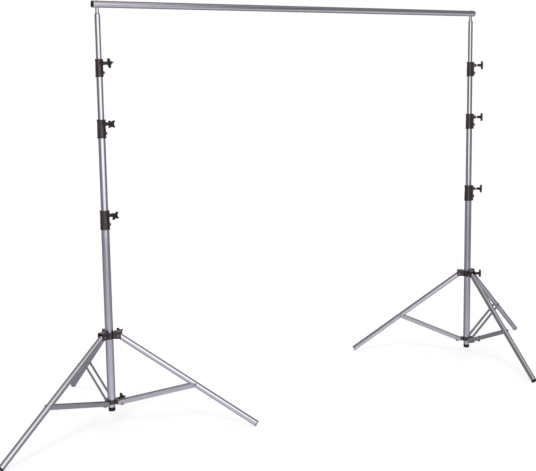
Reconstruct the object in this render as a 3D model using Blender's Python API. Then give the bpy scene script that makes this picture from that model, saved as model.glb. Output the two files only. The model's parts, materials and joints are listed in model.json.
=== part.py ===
"""Backdrop frame: two telescoping tripod stands carrying one level crossbar.

Metres, +Z up, +X along the crossbar. The origin lies on the floor under the middle of the
bounding box. Each stand hangs from an empty on its own axis, and every piece that turns has
its origin, or its parent empty, on the axis it turns about.
"""
import math

import bpy
import bmesh
from mathutils import Matrix, Vector

# General fits and fineness
GAP = 0.0003
WELD_DISTANCE = 0.00001
TUBE_SIDES = 24
LEG_SIDES = 18
CLAMP_SIDES = 20
PIN_SIDES = 10
KNOB_SIDES = 20

# Crossbar
SPAN = 2.068
BAR_RADIUS = 0.0145
BAR_WALL = 0.0015
BAR_HEIGHT = 1.8155
BAR_OVERHANG = {"left": 0.0225, "right": 0.0215}
BAR_CAP_FLANGE = 0.003
BAR_CAP_RADIUS = 0.0149
BAR_CAP_SHANK = 0.010

# Round tubes of a stand
TUBE_WALL = 0.0012
COLUMN_RADIUS = 0.0175
COLUMN_WALL = 0.0014
RISER_RADIUS = {"lower": 0.0155, "middle": 0.0135, "upper": 0.01175}
RISER_LENGTH = {"lower": 0.860, "middle": 0.780, "upper": 0.700}
UPPER_RISER_TOP = 1.773

# Reduced stub at the column's lower end, and its cap
STUB_RADIUS = 0.0155
STUB_VISIBLE = 0.015
STUB_STEP = 0.0015
CAP_RADIUS = 0.0153
CAP_HEIGHT = 0.018
CAP_SHANK = 0.012

# Clamp collars, lowest first
CLAMP_ORDER = ("lower", "middle", "upper")
CLAMP_HEIGHT = {"lower": 0.082, "middle": 0.079, "upper": 0.075}
CLAMP_WALL = 0.003
CLAMP_GRIP = 0.55
CLAMP_FLARE = 0.0009
CLAMP_KNOB_DROP = 0.018
CLAMP_SCREW_DROP = 0.0575
CLAMP_RIB_PROUD = 0.0054
CLAMP_RIB_HALF_WIDTH = 0.0028
BOSS_LENGTH = 0.0165
BOSS_ROOT_RADIUS = 0.0093
BOSS_TIP_RADIUS = 0.0075
SCREW_BOSS_RADIUS = 0.0068
SCREW_BOSS_PROUD = 0.0110
SCREW_HOLE_RADIUS = 0.0028

# Star knob with its screw, measured outwards from the collar's surface
KNOB_SCREW_RADIUS = 0.0025
KNOB_SCREW_TIP = -0.0036
KNOB_HUB_START = 0.0225
KNOB_HUB_RADIUS = 0.0068
KNOB_STAR_START = 0.0392
KNOB_STAR_THICK = 0.0115
KNOB_STAR_TIP = 0.0208
KNOB_STAR_VALLEY = 0.0095
KNOB_LOBES = 4

# Legs, braces and the collars that carry them
COLLAR_RADIUS = 0.0220
LEG_RADIUS = 0.0130
LEG_LENGTH = 0.714
LEG_TOP = 0.009
LEG_PIVOT_RADIUS = 0.042
LEG_TO_BRACE = 0.395
BRACE_LENGTH = 0.3325
BRACE_PIVOT_RADIUS = 0.050
LEG_COLLAR_SPAN = (-0.016, 0.014)
CLEVIS_SPAN = (-0.0135, 0.0190)
CLEVIS_REACH = 0.0545
CLEVIS_HALF_WIDTH = 0.0162
CLEVIS_ROOT = 0.0204
CLEVIS_ROOF = 0.0030
SLOT_HALF_WIDTH = 0.0133
SLOT_START = 0.0245
PIN_RADIUS = 0.0025
PIN_HEAD_RADIUS = 0.0046
PIN_HEAD_HEIGHT = 0.0019
BRACE_COLLAR_SPAN = (-0.0045, 0.0145)
BRACE_KNOB_RISE = 0.005
LUG_HALF_WIDTH = 0.0130
LUG_END_RADIUS = 0.0085
STRIP_HALF_HEIGHT = 0.0095
STRIP_THICK = 0.0018
STRIP_INNER_TIP = 0.018
STRIP_RISE_AT_LUG = 0.0062
STRIP_RISE_AT_LEG = -0.0010
STRIP_LOBE_RADIUS = 0.0070
FOOT_RADIUS = 0.0138
FOOT_FLANGE = 0.0028
FOOT_SHANK = 0.018
FOOT_CUT = 0.0008

# Spigot on top of a stand
SPIGOT_RIM = 0.0014
SPIGOT_CONE = 0.0105
SPIGOT_WAIST_RADIUS = 0.0087
SPIGOT_NECK_RADIUS = 0.0077
SPIGOT_SHANK = 0.025
STUD_RADIUS = 0.0050
STUD_PROUD = 0.0020
STUD_CHAMFER = 0.0008

# How each stand stands: heights above the floor, directions round its axis in degrees
STANDS = {
    "left": {
        "side": -1.0,
        "first_leg": 204.6,
        "spread": 56.5,
        "column_foot": 0.0645,
        "clamp_knob": 290.0,
        "clamp_top": {"lower": 0.9510, "middle": 1.3381, "upper": 1.5905},
        "star_turn": {"lower": 52.0, "middle": 45.0, "upper": 10.0, "leg": 50.0, "brace": -22.0},
    },
    "right": {
        "side": 1.0,
        "first_leg": 140.2,
        "spread": 52.9,
        "column_foot": 0.0312,
        "clamp_knob": 318.0,
        "clamp_top": {"lower": 0.9177, "middle": 1.2970, "upper": 1.5670},
        "star_turn": {"lower": 0.0, "middle": 5.0, "upper": 0.0, "leg": 2.0, "brace": 30.0},
    },
}


# Scene and materials
def clear_scene():
    for obj in list(bpy.data.objects):
        bpy.data.objects.remove(obj, do_unlink=True)


def make_material(name, colour, roughness, metallic):
    material = bpy.data.materials.new(name)
    material.use_nodes = True
    shader = material.node_tree.nodes["Principled BSDF"]
    shader.inputs["Base Color"].default_value = (*colour, 1.0)
    shader.inputs["Roughness"].default_value = roughness
    shader.inputs["Metallic"].default_value = metallic
    return material


def make_materials():
    return {
        "tube": make_material("satin_tube", (0.52, 0.50, 0.54), 0.32, 1.0),
        "strip": make_material("satin_strip", (0.48, 0.47, 0.48), 0.45, 1.0),
        "plastic": make_material("black_plastic", (0.040, 0.038, 0.040), 0.42, 0.0),
        "rubber": make_material("black_rubber", (0.022, 0.022, 0.022), 0.65, 0.0),
        "steel": make_material("bright_steel", (0.62, 0.61, 0.60), 0.28, 1.0),
    }


# Mesh makers
def finish_mesh(bm, name):
    bmesh.ops.recalc_face_normals(bm, faces=bm.faces)
    mesh = bpy.data.meshes.new(name)
    bm.to_mesh(mesh)
    bm.free()
    return mesh


def smooth_mesh(mesh):
    mesh.shade_smooth()
    mesh.set_sharp_from_angle(angle=math.radians(35.0))
    return mesh


def circle_points(radius, sides, axis="Z", offset=0.0):
    """One ring of points about an axis: (r cos t, r sin t), t in equal steps."""
    points = []
    for step in range(sides):
        turn = 2.0 * math.pi * step / sides
        across, up = radius * math.cos(turn), radius * math.sin(turn)
        points.append(Vector((across, up, offset)) if axis == "Z" else Vector((offset, across, up)))
    return points


def lofted_mesh(name, rings, closed=False):
    """Skin through rings of equally many points, closed into a loop or capped at both ends."""
    bm = bmesh.new()
    loops = [[bm.verts.new(point) for point in ring] for ring in rings]
    count = len(loops)
    sides = len(loops[0])
    for index in range(count if closed else count - 1):
        low, high = loops[index], loops[(index + 1) % count]
        for side in range(sides):
            after = (side + 1) % sides
            bm.faces.new((low[side], low[after], high[after], high[side]))
    if not closed:
        bm.faces.new(loops[0])
        bm.faces.new(loops[-1])
    return finish_mesh(bm, name)


def turned_mesh(name, profile, sides, closed=False):
    """Profile of (radius, height) pairs turned about Z."""
    return lofted_mesh(name, [circle_points(r, sides, "Z", z) for r, z in profile], closed)


def tube_mesh(name, outer, wall, bottom, top, sides):
    inner = outer - wall
    profile = [(outer, bottom), (outer, top), (inner, top), (inner, bottom)]
    return turned_mesh(name, profile, sides, closed=True)


def prism_mesh(name, outline, low, high):
    """Outline of (x, z) pairs carried along Y from low to high."""
    rings = [[Vector((x, y, z)) for x, z in outline] for y in (low, high)]
    return lofted_mesh(name, rings)


def rod_mesh(name, radius, start, end, sides, axis="X"):
    rings = [circle_points(radius, sides, "X", at) for at in (start, end)]
    mesh = lofted_mesh(name, rings)
    if axis == "Y":
        mesh.transform(Matrix.Rotation(math.pi / 2.0, 4, "Z"))
    return mesh


def turned_copy(mesh, degrees, axis="Z"):
    copy = mesh.copy()
    copy.transform(Matrix.Rotation(math.radians(degrees), 4, axis))
    return copy


def shifted_copy(mesh, offset):
    copy = mesh.copy()
    copy.transform(Matrix.Translation(Vector(offset)))
    return copy


def weld(mesh):
    """Joins vertices that a cut left in the same place."""
    bm = bmesh.new()
    bm.from_mesh(mesh)
    bmesh.ops.remove_doubles(bm, verts=bm.verts, dist=WELD_DISTANCE)
    bmesh.ops.dissolve_degenerate(bm, edges=bm.edges, dist=WELD_DISTANCE)
    bm.to_mesh(mesh)
    bm.free()
    return mesh


def carve(name, base, added=(), removed=()):
    """Base united with each added mesh, then cut by each removed one."""
    body = bpy.data.objects.new(name, base)
    bpy.context.collection.objects.link(body)
    helpers = []
    for operation, meshes in (("UNION", added), ("DIFFERENCE", removed)):
        for mesh in meshes:
            helper = bpy.data.objects.new(name + "_cutter", mesh)
            helper.hide_render = True
            helper.display_type = "WIRE"
            bpy.context.collection.objects.link(helper)
            helpers.append(helper)
            modifier = body.modifiers.new(operation.title(), "BOOLEAN")
            modifier.operation = operation
            modifier.solver = "EXACT"
            modifier.object = helper
    evaluated = body.evaluated_get(bpy.context.evaluated_depsgraph_get())
    mesh = bpy.data.meshes.new_from_object(evaluated)
    mesh.name = name
    for obj in [body, *helpers]:
        bpy.data.objects.remove(obj, do_unlink=True)
    return weld(mesh)


# Placing
def make_empty(name, parent, location=(0.0, 0.0, 0.0), turn=0.0):
    empty = bpy.data.objects.new(name, None)
    empty.empty_display_size = 0.03
    empty.parent = parent
    empty.location = location
    empty.rotation_euler = (0.0, 0.0, math.radians(turn))
    bpy.context.collection.objects.link(empty)
    return empty


def place(name, mesh, material, parent, location=(0.0, 0.0, 0.0), rotation=(0.0, 0.0, 0.0)):
    obj = bpy.data.objects.new(name, smooth_mesh(mesh))
    obj.data.materials.clear()
    obj.data.materials.append(material)
    obj.parent = parent
    obj.location = location
    obj.rotation_euler = [math.radians(angle) for angle in rotation]
    bpy.context.collection.objects.link(obj)
    return obj


# Clamping parts
def knob_mesh():
    """Screw, hub and star along +X, with x = 0 at the collar's surface.

    The star's edge is r(t) = valley + (tip - valley) (1/2 + cos(lobes t)/2)^1.5.
    """
    def star(at, scale):
        ring = []
        for step in range(KNOB_SIDES):
            turn = 2.0 * math.pi * step / KNOB_SIDES
            swell = (0.5 + 0.5 * math.cos(KNOB_LOBES * turn)) ** 1.5
            radius = scale * (KNOB_STAR_VALLEY + (KNOB_STAR_TIP - KNOB_STAR_VALLEY) * swell)
            ring.append(Vector((at, radius * math.cos(turn), radius * math.sin(turn))))
        return ring

    chamfer = 0.15 * KNOB_STAR_THICK
    star_end = KNOB_STAR_START + KNOB_STAR_THICK
    rings = [
        circle_points(KNOB_SCREW_RADIUS, KNOB_SIDES, "X", KNOB_SCREW_TIP),
        circle_points(KNOB_SCREW_RADIUS, KNOB_SIDES, "X", KNOB_HUB_START),
        circle_points(0.65 * KNOB_HUB_RADIUS, KNOB_SIDES, "X", KNOB_HUB_START + 0.0001),
        circle_points(KNOB_HUB_RADIUS, KNOB_SIDES, "X", KNOB_STAR_START),
        star(KNOB_STAR_START + 0.0001, 0.92),
        star(KNOB_STAR_START + chamfer, 1.0),
        star(star_end - chamfer, 1.0),
        star(star_end, 0.88),
    ]
    return lofted_mesh("star_knob", rings)


def boss_mesh(surface, height, turn=0.0):
    """Tapered boss along +X that the knob's screw runs through, rooted in the collar's wall."""
    rings = [
        circle_points(BOSS_ROOT_RADIUS, 16, "X", surface - 0.5 * CLAMP_WALL),
        circle_points(BOSS_TIP_RADIUS, 16, "X", surface + BOSS_LENGTH),
    ]
    return turned_copy(shifted_copy(lofted_mesh("boss", rings), (0.0, 0.0, height)), turn)


def screw_hole_mesh(surface, height, turn=0.0):
    hole = rod_mesh("screw_hole", SCREW_HOLE_RADIUS, 0.0, surface + 2.0 * BOSS_LENGTH, PIN_SIDES)
    return turned_copy(shifted_copy(hole, (0.0, 0.0, height)), turn)


def clamp_rib_mesh(surface, height):
    """Upright rib along +X whose ends stand out a little, like the sleeve's lips."""
    root = surface - 0.5 * CLAMP_WALL
    crest = surface + CLAMP_RIB_PROUD
    end = crest + CLAMP_FLARE
    inset = 0.0008
    outline = [
        (root, inset), (end, inset), (end, 0.0055), (crest, 0.0080),
        (crest, height - 0.0085), (end, height - 0.0055), (end, height - inset), (root, height - inset),
    ]
    return prism_mesh("clamp_rib", outline, -CLAMP_RIB_HALF_WIDTH, CLAMP_RIB_HALF_WIDTH)


def clamp_collar_mesh(which, outer_tube, inner_tube):
    """Two-step sleeve: its lower part grips one tube, its upper part guides the next.

    A rib over its whole height carries the knob's boss and the screw's boss.
    """
    height = CLAMP_HEIGHT[which]
    surface = outer_tube + CLAMP_WALL
    flare = surface + CLAMP_FLARE
    shoulder = CLAMP_GRIP * height
    profile = [
        (outer_tube + GAP, 0.0),
        (flare, 0.0),
        (flare, 0.0055),
        (surface, 0.0080),
        (surface, shoulder),
        (surface - 0.0006, shoulder + 0.0010),
        (surface - 0.0006, height - 0.0085),
        (flare - 0.0004, height - 0.0055),
        (flare - 0.0004, height),
        (inner_tube + GAP, height),
        (inner_tube + GAP, shoulder),
        (outer_tube + GAP, shoulder),
    ]
    sleeve = turned_mesh("sleeve", profile, CLAMP_SIDES, closed=True)
    knob_height = height - CLAMP_KNOB_DROP
    screw_boss = rod_mesh("screw_boss", SCREW_BOSS_RADIUS, surface - 0.5 * CLAMP_WALL,
                          surface + SCREW_BOSS_PROUD, PIN_SIDES)
    added = [clamp_rib_mesh(surface, height), boss_mesh(surface, knob_height),
             shifted_copy(screw_boss, (0.0, 0.0, height - CLAMP_SCREW_DROP))]
    removed = [screw_hole_mesh(surface, knob_height)]
    return carve(which + "_clamp", sleeve, added, removed)


# Leg and brace collars
def collar_ring_mesh(span):
    bore = COLUMN_RADIUS + GAP
    chamfer = 0.001
    profile = [
        (bore, span[0]),
        (COLLAR_RADIUS - chamfer, span[0]),
        (COLLAR_RADIUS, span[0] + chamfer),
        (COLLAR_RADIUS, span[1] - chamfer),
        (COLLAR_RADIUS - chamfer, span[1]),
        (bore, span[1]),
    ]
    return turned_mesh("collar_ring", profile, TUBE_SIDES, closed=True)


def leg_collar_mesh():
    """Ring with three roofed clevises at 0, 120 and 240 degrees and a knob boss at 180."""
    low, high = CLEVIS_SPAN
    corner = 0.003
    outline = [
        (CLEVIS_ROOT, low), (CLEVIS_REACH - corner, low), (CLEVIS_REACH, low + corner),
        (CLEVIS_REACH, high - corner), (CLEVIS_REACH - corner, high), (COLLAR_RADIUS, high),
        (CLEVIS_ROOT, LEG_COLLAR_SPAN[1] - 0.001),
    ]
    block = prism_mesh("clevis", outline, -CLEVIS_HALF_WIDTH, CLEVIS_HALF_WIDTH)
    slot_outline = [
        (SLOT_START, low - 0.01), (CLEVIS_REACH + 0.01, low - 0.01),
        (CLEVIS_REACH + 0.01, high - CLEVIS_ROOF), (SLOT_START, high - CLEVIS_ROOF),
    ]
    slot = prism_mesh("slot", slot_outline, -SLOT_HALF_WIDTH, SLOT_HALF_WIDTH)
    hole = rod_mesh("pin_hole", PIN_RADIUS + GAP, -0.02, 0.02, PIN_SIDES, "Y")
    hole = shifted_copy(hole, (LEG_PIVOT_RADIUS, 0.0, 0.0))
    turns = (0.0, 120.0, 240.0)
    added = [turned_copy(block, turn) for turn in turns] + [boss_mesh(COLLAR_RADIUS, 0.0, 180.0)]
    removed = [turned_copy(cutter, turn) for turn in turns for cutter in (slot, hole)]
    removed.append(screw_hole_mesh(COLLAR_RADIUS, 0.0, 180.0))
    return carve("leg_collar", collar_ring_mesh(LEG_COLLAR_SPAN), added, removed)


def arc_points(centre, radius, start, end, steps):
    """Points (cx + r cos t, cz + r sin t) for t from start to end degrees."""
    points = []
    for step in range(steps + 1):
        turn = math.radians(start + (end - start) * step / steps)
        points.append((centre[0] + radius * math.cos(turn), centre[1] + radius * math.sin(turn)))
    return points


def brace_collar_mesh():
    """Ring with three lugs at 0, 120 and 240 degrees and a knob boss at 180."""
    low, high = BRACE_COLLAR_SPAN
    root = COLUMN_RADIUS + 0.5 * (COLLAR_RADIUS - COLUMN_RADIUS)
    outline = [(root, low + 0.001)]
    outline += arc_points((BRACE_PIVOT_RADIUS, 0.0), LUG_END_RADIUS, -100.0, 60.0, 8)
    outline += [(0.040, 0.0105), (COLLAR_RADIUS, high - 0.001), (root, high - 0.001)]
    lug = prism_mesh("lug", outline, -LUG_HALF_WIDTH, LUG_HALF_WIDTH)
    hole = rod_mesh("rivet_hole", PIN_RADIUS + GAP, -0.02, 0.02, PIN_SIDES, "Y")
    hole = shifted_copy(hole, (BRACE_PIVOT_RADIUS, 0.0, 0.0))
    turns = (0.0, 120.0, 240.0)
    added = [turned_copy(lug, turn) for turn in turns]
    added.append(boss_mesh(COLLAR_RADIUS, BRACE_KNOB_RISE, 180.0))
    removed = [turned_copy(hole, turn) for turn in turns]
    removed.append(screw_hole_mesh(COLLAR_RADIUS, BRACE_KNOB_RISE, 180.0))
    return carve("brace_collar", collar_ring_mesh(BRACE_COLLAR_SPAN), added, removed)


# Legs, braces and feet
def rivet_mesh(half_grip):
    """Shaft across Y with a low round head outside each face."""
    head = half_grip + PIN_HEAD_HEIGHT
    shaft = half_grip - 0.00005
    steps = [
        (-head, 0.6 * PIN_HEAD_RADIUS), (-half_grip, PIN_HEAD_RADIUS), (-shaft, PIN_RADIUS),
        (shaft, PIN_RADIUS), (half_grip, PIN_HEAD_RADIUS), (head, 0.6 * PIN_HEAD_RADIUS),
    ]
    rings = [circle_points(radius, PIN_SIDES, "X", at) for at, radius in steps]
    mesh = lofted_mesh("rivet", rings)
    mesh.transform(Matrix.Rotation(math.pi / 2.0, 4, "Z"))
    return mesh


def leg_mesh():
    """Tube down local -Z from its pivot at the origin, drilled across for the hinge pin."""
    bottom = -LEG_LENGTH + FOOT_FLANGE + GAP
    tube = tube_mesh("leg_tube", LEG_RADIUS, TUBE_WALL, bottom, LEG_TOP, LEG_SIDES)
    hole = rod_mesh("pin_hole", PIN_RADIUS + GAP, -0.02, 0.02, PIN_SIDES, "Y")
    return carve("leg", tube, removed=[hole])


def foot_mesh(spread, pivot_height):
    """Flanged plug in the leg's lower end, with a small flat where it meets the floor."""
    end = -LEG_LENGTH
    shank = LEG_RADIUS - TUBE_WALL - GAP
    profile = [
        (FOOT_RADIUS - 0.0002, end), (FOOT_RADIUS, end + 0.0002), (FOOT_RADIUS, end + FOOT_FLANGE),
        (shank, end + FOOT_FLANGE), (shank, end + FOOT_FLANGE + FOOT_SHANK),
    ]
    plug = turned_mesh("foot_plug", profile, LEG_SIDES)
    slab = [(-0.1, -0.1), (0.1, -0.1), (0.1, 0.0), (-0.1, 0.0)]
    floor = prism_mesh("floor_cutter", slab, -0.1, 0.1)
    tilt = math.radians(spread)
    up = Vector((math.sin(tilt), 0.0, math.cos(tilt)))
    below = Vector((0.0, 0.0, end)) - up * (up.z * end + pivot_height)
    floor.transform(Matrix.Translation(below) @ Matrix.Rotation(tilt, 4, "Y"))
    return carve("foot", plug, removed=[floor])


def brace_mesh():
    """Two parallel flat strips along +X from the lug's pivot at the origin, tied by its rivet."""
    inner = (-STRIP_INNER_TIP + STRIP_HALF_HEIGHT, STRIP_RISE_AT_LUG)
    outer = (BRACE_LENGTH, STRIP_RISE_AT_LEG)
    slope = math.degrees(math.atan2(outer[1] - inner[1], outer[0] - inner[0]))
    edge_height = STRIP_RISE_AT_LUG - STRIP_HALF_HEIGHT
    reach = math.degrees(math.asin(-edge_height / STRIP_LOBE_RADIUS))
    outline = arc_points(inner, STRIP_HALF_HEIGHT, slope + 90.0, slope + 270.0, 6)
    outline += arc_points((0.0, 0.0), STRIP_LOBE_RADIUS, 180.0 + reach, 360.0 - reach, 5)
    outline += arc_points(outer, STRIP_HALF_HEIGHT, slope - 90.0, slope + 90.0, 6)
    near = SLOT_HALF_WIDTH
    far = near + STRIP_THICK
    strips = [prism_mesh("strip", outline, *span) for span in ((near, far), (-far, -near))]
    rivet = rivet_mesh(far - 0.0001)
    head_steps = ((far - 0.0004, PIN_HEAD_RADIUS), (far + PIN_HEAD_HEIGHT, 0.6 * PIN_HEAD_RADIUS))
    head = lofted_mesh("head", [circle_points(r, PIN_SIDES, "X", at) for at, r in head_steps])
    heads = []
    for turn in (90.0, -90.0):
        heads.append(shifted_copy(turned_copy(head, turn), (BRACE_LENGTH, 0.0, 0.0)))
    return carve("brace", rivet, added=strips + heads)


# Column, risers and spigot
def column_mesh(top):
    """Tube from the cap up to the lower clamp's shoulder, drawn in to a stub at its foot."""
    stub_low = CAP_HEIGHT + GAP
    stub_high = CAP_HEIGHT + STUB_VISIBLE
    bore = COLUMN_RADIUS - COLUMN_WALL
    stub_bore = STUB_RADIUS - COLUMN_WALL
    profile = [
        (STUB_RADIUS, stub_low), (STUB_RADIUS, stub_high - STUB_STEP), (COLUMN_RADIUS, stub_high),
        (COLUMN_RADIUS, top), (bore, top), (bore, stub_high + 0.0005),
        (stub_bore, stub_high - STUB_STEP), (stub_bore, stub_low),
    ]
    return turned_mesh("column", profile, TUBE_SIDES, closed=True)


def column_cap_mesh():
    shank = STUB_RADIUS - COLUMN_WALL - GAP
    profile = [
        (CAP_RADIUS - 0.003, 0.0), (CAP_RADIUS - 0.0008, 0.0010), (CAP_RADIUS, 0.0032),
        (CAP_RADIUS, CAP_HEIGHT), (shank, CAP_HEIGHT), (shank, CAP_HEIGHT + CAP_SHANK),
    ]
    return turned_mesh("column_cap", profile, TUBE_SIDES)


def spigot_mesh():
    """Shank in the riser, a cone and neck under the bar, and a stud up through it."""
    riser = RISER_RADIUS["upper"]
    shank = riser - TUBE_WALL - GAP
    neck_top = BAR_HEIGHT - BAR_RADIUS - UPPER_RISER_TOP - GAP
    stud_top = neck_top + GAP + 2.0 * BAR_RADIUS + STUD_PROUD
    profile = [
        (shank, -SPIGOT_SHANK), (shank, GAP), (riser, GAP), (riser, SPIGOT_RIM),
        (SPIGOT_WAIST_RADIUS, 0.6 * SPIGOT_CONE), (SPIGOT_NECK_RADIUS, SPIGOT_CONE),
        (SPIGOT_NECK_RADIUS, neck_top), (STUD_RADIUS, neck_top),
        (STUD_RADIUS, stud_top - STUD_CHAMFER), (STUD_RADIUS - STUD_CHAMFER, stud_top),
    ]
    return turned_mesh("spigot", profile, CLAMP_SIDES)


# Assembly
def build_telescope(side, spec, stand, materials, knob):
    """Column, risers, clamp collars with their knobs, and the spigot of one stand."""
    foot = spec["column_foot"]
    tops = spec["clamp_top"]
    radii = {"column": COLUMN_RADIUS, **RISER_RADIUS}
    ends = {}
    for which in CLAMP_ORDER:
        ends[which] = tops[which] - CLAMP_HEIGHT[which] * (1.0 - CLAMP_GRIP) - GAP
    place(side + "_column_tube", column_mesh(ends["lower"] - foot), materials["tube"], stand,
          (0.0, 0.0, foot))
    place(side + "_column_end_cap", column_cap_mesh(), materials["rubber"], stand,
          (0.0, 0.0, foot))
    riser_tops = {"lower": ends["middle"], "middle": ends["upper"], "upper": UPPER_RISER_TOP}
    for which, top in riser_tops.items():
        length = RISER_LENGTH[which]
        tube = tube_mesh(which + "_riser", RISER_RADIUS[which], TUBE_WALL, -length, 0.0, TUBE_SIDES)
        place(f"{side}_{which}_riser", tube, materials["tube"], stand, (0.0, 0.0, top))
    tubes = ("column", "lower", "middle", "upper")
    for index, which in enumerate(CLAMP_ORDER):
        outer, inner = radii[tubes[index]], radii[tubes[index + 1]]
        bottom = tops[which] - CLAMP_HEIGHT[which]
        place(f"{side}_{which}_clamp", clamp_collar_mesh(which, outer, inner),
              materials["plastic"], stand, (0.0, 0.0, bottom), (0.0, 0.0, spec["clamp_knob"]))
        place_knob(f"{side}_{which}_clamp_knob", knob, materials, stand, spec["clamp_knob"],
                   outer + CLAMP_WALL, tops[which] - CLAMP_KNOB_DROP, spec["star_turn"][which])
    place(side + "_spigot", spigot_mesh(), materials["steel"], stand, (0.0, 0.0, UPPER_RISER_TOP))


def place_knob(name, knob, materials, stand, direction, surface, height, star_turn):
    turn = math.radians(direction)
    location = (surface * math.cos(turn), surface * math.sin(turn), height)
    place(name, knob, materials["plastic"], stand, location, (star_turn, 0.0, direction))


def build_tripod(side, spec, stand, materials, knob):
    """Leg collar, brace collar, three legs with feet and pins, and three braces."""
    tilt = math.radians(spec["spread"])
    leg_height = (LEG_LENGTH * math.cos(tilt) + FOOT_RADIUS * math.sin(tilt) - FOOT_CUT)
    joint_radius = LEG_PIVOT_RADIUS + LEG_TO_BRACE * math.sin(tilt)
    joint_height = leg_height - LEG_TO_BRACE * math.cos(tilt)
    brace_out = joint_radius - BRACE_PIVOT_RADIUS
    brace_up = math.sqrt(BRACE_LENGTH ** 2 - brace_out ** 2)
    brace_height = joint_height - brace_up
    rise = math.degrees(math.atan2(brace_up, brace_out))
    first = spec["first_leg"]
    place(side + "_leg_collar", leg_collar_mesh(), materials["plastic"], stand,
          (0.0, 0.0, leg_height), (0.0, 0.0, first))
    place(side + "_brace_collar", brace_collar_mesh(), materials["plastic"], stand,
          (0.0, 0.0, brace_height), (0.0, 0.0, first))
    place_knob(side + "_leg_collar_knob", knob, materials, stand, first + 180.0,
               COLLAR_RADIUS, leg_height, spec["star_turn"]["leg"])
    place_knob(side + "_brace_collar_knob", knob, materials, stand, first + 180.0,
               COLLAR_RADIUS, brace_height + BRACE_KNOB_RISE, spec["star_turn"]["brace"])
    leg, brace = leg_mesh(), brace_mesh()
    foot = foot_mesh(spec["spread"], leg_height)
    pin = rivet_mesh(CLEVIS_HALF_WIDTH + GAP)
    for number in (1, 2, 3):
        turn = first + 120.0 * (number - 1)
        out = Vector((math.cos(math.radians(turn)), math.sin(math.radians(turn)), 0.0))
        hinge = make_empty(f"{side}_leg_hinge_{number}", stand,
                           out * LEG_PIVOT_RADIUS + Vector((0.0, 0.0, leg_height)), turn)
        lean = (0.0, -spec["spread"], 0.0)
        place(f"{side}_leg_{number}", leg, materials["tube"], hinge, rotation=lean)
        place(f"{side}_foot_{number}", foot, materials["rubber"], hinge, rotation=lean)
        place(f"{side}_leg_pin_{number}", pin, materials["steel"], hinge)
        pivot = make_empty(f"{side}_brace_hinge_{number}", stand,
                           out * BRACE_PIVOT_RADIUS + Vector((0.0, 0.0, brace_height)), turn)
        place(f"{side}_brace_{number}", brace, materials["strip"], pivot,
              rotation=(0.0, -rise, 0.0))


def build_crossbar(frame, materials):
    """Bar along X with a hole at each stud, and a flanged plug in each end."""
    low = -0.5 * SPAN - BAR_OVERHANG["left"] + BAR_CAP_FLANGE + GAP
    high = 0.5 * SPAN + BAR_OVERHANG["right"] - BAR_CAP_FLANGE - GAP
    tube = tube_mesh("bar_tube", BAR_RADIUS, BAR_WALL, low, high, TUBE_SIDES)
    tube.transform(Matrix.Rotation(math.pi / 2.0, 4, "Y"))
    holes = []
    for at in (-0.5 * SPAN, 0.5 * SPAN):
        profile = [(STUD_RADIUS + GAP, -0.03), (STUD_RADIUS + GAP, 0.03)]
        holes.append(shifted_copy(turned_mesh("stud_hole", profile, CLAMP_SIDES), (at, 0.0, 0.0)))
    place("crossbar", carve("crossbar", tube, removed=holes), materials["tube"], frame,
          (0.0, 0.0, BAR_HEIGHT))
    shank = BAR_RADIUS - BAR_WALL - GAP
    profile = [
        (BAR_CAP_RADIUS - 0.0008, BAR_CAP_FLANGE), (BAR_CAP_RADIUS, BAR_CAP_FLANGE - 0.0008),
        (BAR_CAP_RADIUS, 0.0), (shank, 0.0), (shank, -BAR_CAP_SHANK),
    ]
    cap = turned_mesh("bar_cap", profile, TUBE_SIDES)
    cap.transform(Matrix.Rotation(math.pi / 2.0, 4, "Y"))
    place("crossbar_cap_right", cap, materials["rubber"], frame, (high + GAP, 0.0, BAR_HEIGHT))
    place("crossbar_cap_left", cap, materials["rubber"], frame, (low - GAP, 0.0, BAR_HEIGHT),
          (0.0, 0.0, 180.0))


def centre_on_origin(frame):
    """Move the whole frame so that the bounding box stands centred over the origin."""
    bpy.context.view_layer.update()
    corners = []
    for obj in bpy.data.objects:
        if obj.type == "MESH":
            corners += [obj.matrix_world @ vertex.co for vertex in obj.data.vertices]
    for axis in (0, 1):
        values = [corner[axis] for corner in corners]
        frame.location[axis] = -0.5 * (min(values) + max(values))
    frame.location[2] = -min(corner[2] for corner in corners)


def main():
    clear_scene()
    materials = make_materials()
    frame = make_empty("backdrop_frame", None)
    knob = knob_mesh()
    for side, spec in STANDS.items():
        stand = make_empty(side + "_stand", frame, (spec["side"] * 0.5 * SPAN, 0.0, 0.0))
        build_telescope(side, spec, stand, materials, knob)
        build_tripod(side, spec, stand, materials, knob)
    build_crossbar(frame, materials)
    centre_on_origin(frame)


main()
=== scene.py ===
import json
import math

import bmesh
import bpy
import numpy as np
from mathutils import Matrix, Vector


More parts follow.
